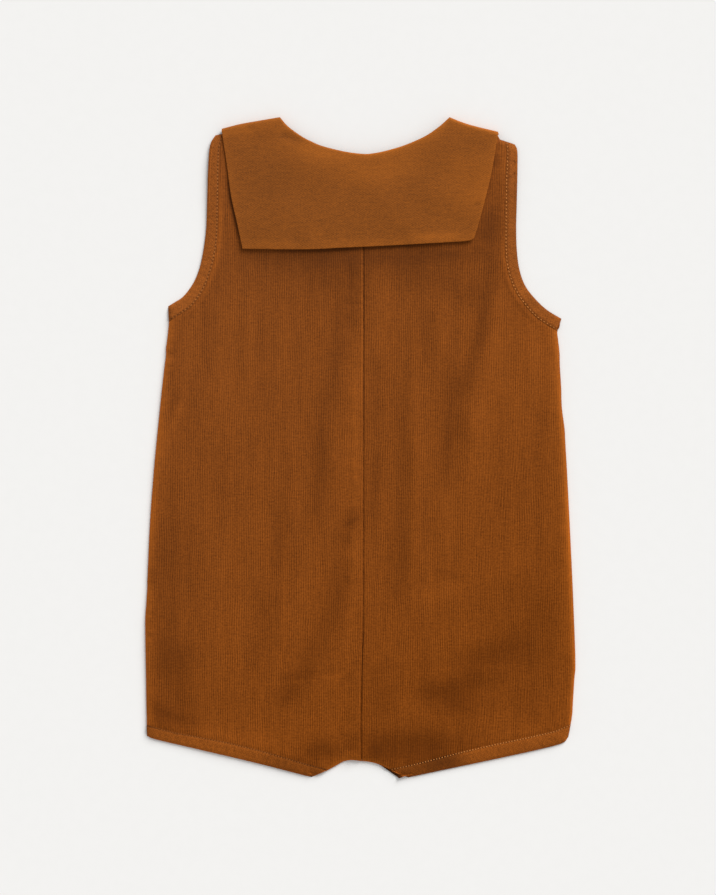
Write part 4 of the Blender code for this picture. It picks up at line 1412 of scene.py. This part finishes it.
def woven_tone(tree, patterns):
    """How light the cloth is from place to place: several patterns, each with its share."""
    tone = None
    for socket, share in patterns:
        start = {2: 0.5 - sum(part for _, part in patterns) / 2} if tone is None else {}
        links = {} if tone is None else {"_2": tone}
        added = node(tree, "Math", {"operation": "MULTIPLY_ADD", 1: share, **start}, _0=socket, **links)
        tone = added.outputs[0]
    return tone


def drifting(tree, where, drifts, sway_along=0):
    """Coordinates that sway sideways, so that a pattern drawn on them drifts like woven cloth."""
    place = where
    for size, sway in drifts:
        drift = node(tree, "TexNoise", noise(size), Vector=where).outputs["Color"]
        settings = {"operation": "MULTIPLY_ADD", 1: (sway * MM, sway_along * sway * MM, 0)}
        place = node(tree, "VectorMath", settings, _0=drift, _2=place).outputs[0]
    return place


def dyed(tree, shader, tone, dyes, relief, depth):
    """Gives a cloth its colour between two dyes, lightened and darkened by its painted light and shade,
    with its matt surface and its fine relief.
    """
    painted_tone = node(tree, "Attribute", {"attribute_name": PAINTED_TONE}).outputs["Fac"]
    calm = node(tree, "MapRange", WEAVE_CALMED, _0=painted_tone).outputs[0]
    centred = node(tree, "Math", {"operation": "SUBTRACT", 1: 0.5}, _0=tone).outputs[0]
    calmed = node(tree, "Math", {"operation": "MULTIPLY_ADD", 2: 0.5}, _0=centred, _1=calm).outputs[0]
    tone = node(tree, "Math", {"operation": "ADD"}, _0=calmed, _1=painted_tone).outputs[0]
    mixed = {"data_type": "RGBA", 6: linear(dyes[0]), 7: linear(dyes[1])}
    colour = node(tree, "Mix", mixed, _0=tone).outputs[2]
    # Where painted light and shade take the tone past the two dyes, the colour only grows lighter and
    # darker, and keeps its hue.
    deep = node(tree, "MapRange", GROWN_DEEPER, _0=tone).outputs[0]
    pale = node(tree, "MapRange", GROWN_PALER, _0=tone).outputs[0]
    gain = node(tree, "Math", {"operation": "MULTIPLY"}, _0=deep, _1=pale).outputs[0]
    colour = node(tree, "VectorMath", {"operation": "SCALE"}, _0=colour, Scale=gain).outputs[0]
    # The colour turns a little greyer towards the upper left.
    where = node(tree, "TexCoord").outputs["Object"]
    towards = {"operation": "DOT_PRODUCT", 1: UPPER_LEFT_TOWARDS}
    across = node(tree, "VectorMath", towards, _0=where).outputs["Value"]
    tint_share = node(tree, "MapRange", UPPER_LEFT_SHARE, _0=across).outputs[0]
    tinted = node(tree, "Mix", {"data_type": "RGBA", 7: linear(UPPER_LEFT_TINT)}, _0=tint_share, _6=colour)
    tree.links.new(tinted.outputs[2], shader.inputs["Base Color"])
    bump = node(tree, "Bump", {"Strength": BUMP_STRENGTH, "Distance": depth * MM}, Height=relief)
    tree.links.new(bump.outputs[0], shader.inputs["Normal"])
    finished(shader, {**MATT, "Sheen Tint": linear(FUZZ)})


def ribbed_cotton():
    """Washed cotton with fine upright ribs: thin dark lines that drift, fade and come back.

    Two sets of ribs take turns from place to place. Their pitch and the grain of the yarn are drawn
    coarser than the cloth's own, so that they show.
    """
    made, tree, shader = new_material("ribbed_cotton")
    where = node(tree, "UVMap", {"uv_map": CLOTH_MAP}).outputs[0]
    place = drifting(tree, where, RIB_DRIFTS)
    close = node(tree, "TexWave", stripes(RIB_PITCH), Vector=place).outputs["Fac"]
    leaning = node(tree, "Mapping", {"Rotation": (0, 0, np.radians(WIDE_RIB_LEAN))}, Vector=place)
    wide = node(tree, "TexWave", stripes(WIDE_RIB_PITCH), Vector=leaning.outputs[0]).outputs["Fac"]
    region = node(tree, "TexNoise", noise(RIB_REGION), Vector=where).outputs["Fac"]
    aside = node(tree, "SeparateXYZ", _0=where).outputs[0]
    rightward = node(tree, "MapRange", MORE_TO_THE_RIGHT, _0=aside).outputs[0]
    region = node(tree, "Math", {"operation": "ADD"}, _0=region, _1=rightward).outputs[0]
    share = node(tree, "MapRange", RIB_REGION_SHARE, _0=region).outputs[0]
    ribs = node(tree, "Mix", {}, _0=share, _2=close, _3=wide).outputs[0]
    fading = node(tree, "TexNoise", noise(RIB_FADE, DETAILED), Vector=where).outputs["Fac"]
    shown = node(tree, "MapRange", RIB_SHOWN, _0=fading).outputs[0]
    centred = node(tree, "Math", {"operation": "SUBTRACT", 1: 0.5}, _0=ribs).outputs[0]
    ribs = node(tree, "Math", {"operation": "MULTIPLY_ADD", 2: 0.5}, _0=centred, _1=shown).outputs[0]
    yarns = []
    for wide_by, long_by, drifts in RIB_YARNS:
        scale = {"Scale": (per_metre(wide_by), per_metre(long_by), 1)}
        drawn = node(tree, "Mapping", scale, Vector=place if drifts else where).outputs[0]
        yarn = node(tree, "TexNoise", {"Scale": 1.0, "Detail": YARN_DETAIL}, Vector=drawn)
        yarns.append(yarn.outputs["Fac"])
    grain = node(tree, "TexNoise", noise(RIB_GRAIN), Vector=where).outputs["Fac"]
    small = node(tree, "TexNoise", noise(RIB_SMALL, DETAILED), Vector=where).outputs["Fac"]
    tone = woven_tone(tree, list(zip((ribs, *yarns, grain, small), RIB_SHARES)))
    relief = woven_tone(tree, list(zip((ribs, yarns[0], grain), RIB_RELIEF)))
    dyed(tree, shader, tone, RIB_DYES, relief, RIB_DEPTH)
    return made


def plain_cotton(name, weave, dyes):
    """Plain cotton, two layers pressed: matt and even, with slubs and a fine crossing weave.

    The weave and the grain of its yarn are drawn coarser than the cloth's own, so that they show.
    """
    turned, crossing, uneven = weave
    made, tree, shader = new_material(name)
    where = node(tree, "UVMap", {"uv_map": CLOTH_MAP}).outputs[0]
    place = drifting(tree, where, WEAVE_DRIFTS, 1)
    threads = []
    for angle in (turned, -turned):
        laid = node(tree, "Mapping", {"Rotation": (0, 0, np.radians(angle))}, Vector=place).outputs[0]
        threads.append(node(tree, "TexWave", stripes(WEAVE_PITCH), Vector=laid).outputs["Fac"])
    grain = node(tree, "TexNoise", noise(WEAVE_GRAIN), Vector=where).outputs["Fac"]
    small = node(tree, "TexNoise", noise(WEAVE_SMALL, DETAILED), Vector=where).outputs["Fac"]
    scale = {"Scale": (*(per_metre(size) for size in WEAVE_SLUB), 1)}
    drawn = node(tree, "Mapping", scale, Vector=where).outputs[0]
    slubs = node(tree, "TexNoise", {"Scale": 1.0, "Detail": YARN_DETAIL}, Vector=drawn).outputs["Fac"]
    shares = (crossing, crossing, uneven, *WEAVE_SHARES)
    tone = woven_tone(tree, list(zip((*threads, grain, small, slubs), shares)))
    relief = woven_tone(tree, list(zip((*threads, grain), WEAVE_RELIEF)))
    dyed(tree, shader, tone, dyes, relief, WEAVE_DEPTH)
    return made


def spun_thread():
    """Spun polyester sewing thread: a lighter tan, softly glossy, slightly uneven in dye."""
    made, tree, shader = new_material("spun_polyester_thread")
    where = node(tree, "TexCoord").outputs["Object"]
    uneven = node(tree, "TexNoise", noise(THREAD_UNEVEN), Vector=where).outputs["Fac"]
    dyed(tree, shader, uneven, THREAD_DYES, uneven, THREAD_DEPTH)
    finished(shader, {"Roughness": THREAD_ROUGHNESS})
    return made


def paper():
    """Matt pale paper under the garment, with a soft mottle."""
    made, tree, shader = new_material("matt_paper")
    where = node(tree, "TexCoord").outputs["Object"]
    grain = node(tree, "TexNoise", noise(PAPER_GRAIN), Vector=where).outputs["Fac"]
    mixed = {"data_type": "RGBA", 6: linear(PAPER_TONES[0]), 7: linear(PAPER_TONES[1])}
    tree.links.new(node(tree, "Mix", mixed, _0=grain).outputs[2], shader.inputs["Base Color"])
    finished(shader, PAPER_FINISH)
    return made


def laid(piece, node_name, slot, flat, area, on, sewn=()):
    """Hides the part of model.glb that a sheet of cloth stands for."""
    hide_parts(node_name)
    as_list(on)
    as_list(sewn)


def make_front(rib):
    points, pattern = front_panel()
    piece = cloth("front_cloth", points, pattern, front_corner_shadow(points), FRONT_SHELL, False, rib)
    laid(piece, "front", "rust_rib", FRONT_CUT, cloth_area(points), ["collar"])


def make_back(side, rib):
    name = f"back_{SIDE_NAMES[side]}"
    points, pattern = back_half(side)
    piece = cloth(f"{name}_cloth", points, pattern, back_painted_tone(points, side), SHELL, True, rib)
    laid(piece, name, "rust_rib", BACK_CUT, cloth_area(points), ["front"])


def make_collar():
    pressed = plain_cotton("plain_cotton_collar", COLLAR_WEAVE, COLLAR_DYES)
    points, pattern, painted_tone, dropped = collar()
    piece = cloth("collar_cloth", points, pattern, painted_tone, COLLAR_SHELL, True, pressed, dropped)
    area = cloth_area(points, dropped)
    laid(piece, "collar", "rust_twill", COLLAR_CUT, area, ["back_left", "back_right"])


def make_binding(place, side, front_layer, bound, thread):
    """One binding of one layer, with its row of stitches."""
    name = f"{place}_band_{'front' if front_layer else 'back'}_{SIDE_NAMES[side]}"
    seat = front_band_seat if front_layer else back_band_seat
    up = -1 if front_layer else 1
    if place == "armhole":
        line_of = armhole_line
        edge = edge_of(ARMHOLE, side) * layer_scale(front_layer)
    else:
        line_of = leg_line
        edge = hem_edges(side, front_layer)[0]
    lines = [edge, line_of(side, 0, front_layer), line_of(side, FOLD_PAST_STITCH, front_layer)]
    trim = (0, 0)
    if front_layer:
        trim = (END_TRIM, END_TRIM if place == "armhole" else 0)
    sewing = SEAMS[place, side]

    def face(points):
        return seat(points) + up * band_relief(points, *lines, sewing[0])

    stitches = topstitch(f"{name}_stitches", lines[1], face, up, sewing, thread)
    points, pattern, painted_tone = band(lines, trim, seat, up, sewing)
    if front_layer:
        # painted shadow on the front's corner
        painted_tone += front_corner_shadow(points)
    piece = cloth(f"{name}_cloth", points, pattern, painted_tone, BAND_SHELL, not front_layer, bound)
    under = f"armhole_band_front_{SIDE_NAMES[side]}" if place == "armhole" else "front"
    on = () if front_layer else [under]
    laid(piece, name, "rust_twill", BINDING_CUTS[place], cloth_area(points), on, [stitches])


def make_garment():
    rib = ribbed_cotton()
    make_front(rib)
    for side in SIDES:
        make_back(side, rib)
    make_collar()
    bound = plain_cotton("bias_cotton_binding", BOUND_WEAVE, BOUND_DYES)
    thread = spun_thread()
    for front_layer in (True, False):
        for side in SIDES:
            for place in BINDING_CUTS:
                make_binding(place, side, front_layer, bound, thread)


def make_floor():
    """A plain pale floor that the garment lies on."""
    bm = bmesh.new()
    bmesh.ops.create_grid(bm, x_segments=1, y_segments=1, size=FLOOR_HALF)
    mesh = mesh_of(bm, "floor")
    mesh.materials.append(paper())
    placed("floor", mesh)


def make_light():
    """Soft light from the upper right, and a bright room all round."""
    sun = bpy.data.lights.new("window", "SUN")
    sun.energy = SUN_STRENGTH
    sun.angle = np.radians(SUN_SPREAD)
    lamp = placed("window", sun)
    high, turned = np.radians(SUN_HEIGHT), np.radians(SUN_FROM)
    towards = Vector((np.cos(high) * np.cos(turned), np.cos(high) * np.sin(turned), np.sin(high)))
    lamp.rotation_euler = towards.to_track_quat("Z", "Y").to_euler()
    world = bpy.data.worlds.new("room")
    world.use_nodes = True
    sky = world.node_tree.nodes["Background"]
    sky.inputs["Color"].default_value = (1, 1, 1, 1)
    sky.inputs["Strength"].default_value = ROOM_LIGHT
    bpy.context.scene.world = world


def make_camera():
    """The camera straight above."""
    lens = bpy.data.cameras.new("camera")
    lens.lens = LENS
    lens.sensor_width = SENSOR
    lens.clip_end = FAR
    camera = placed("camera", lens)
    camera.location = CAMERA_PLACE
    bpy.context.scene.camera = camera
    bpy.context.scene.view_settings.view_transform = "Standard"


make_floor()
make_light()
make_camera()
make_garment()
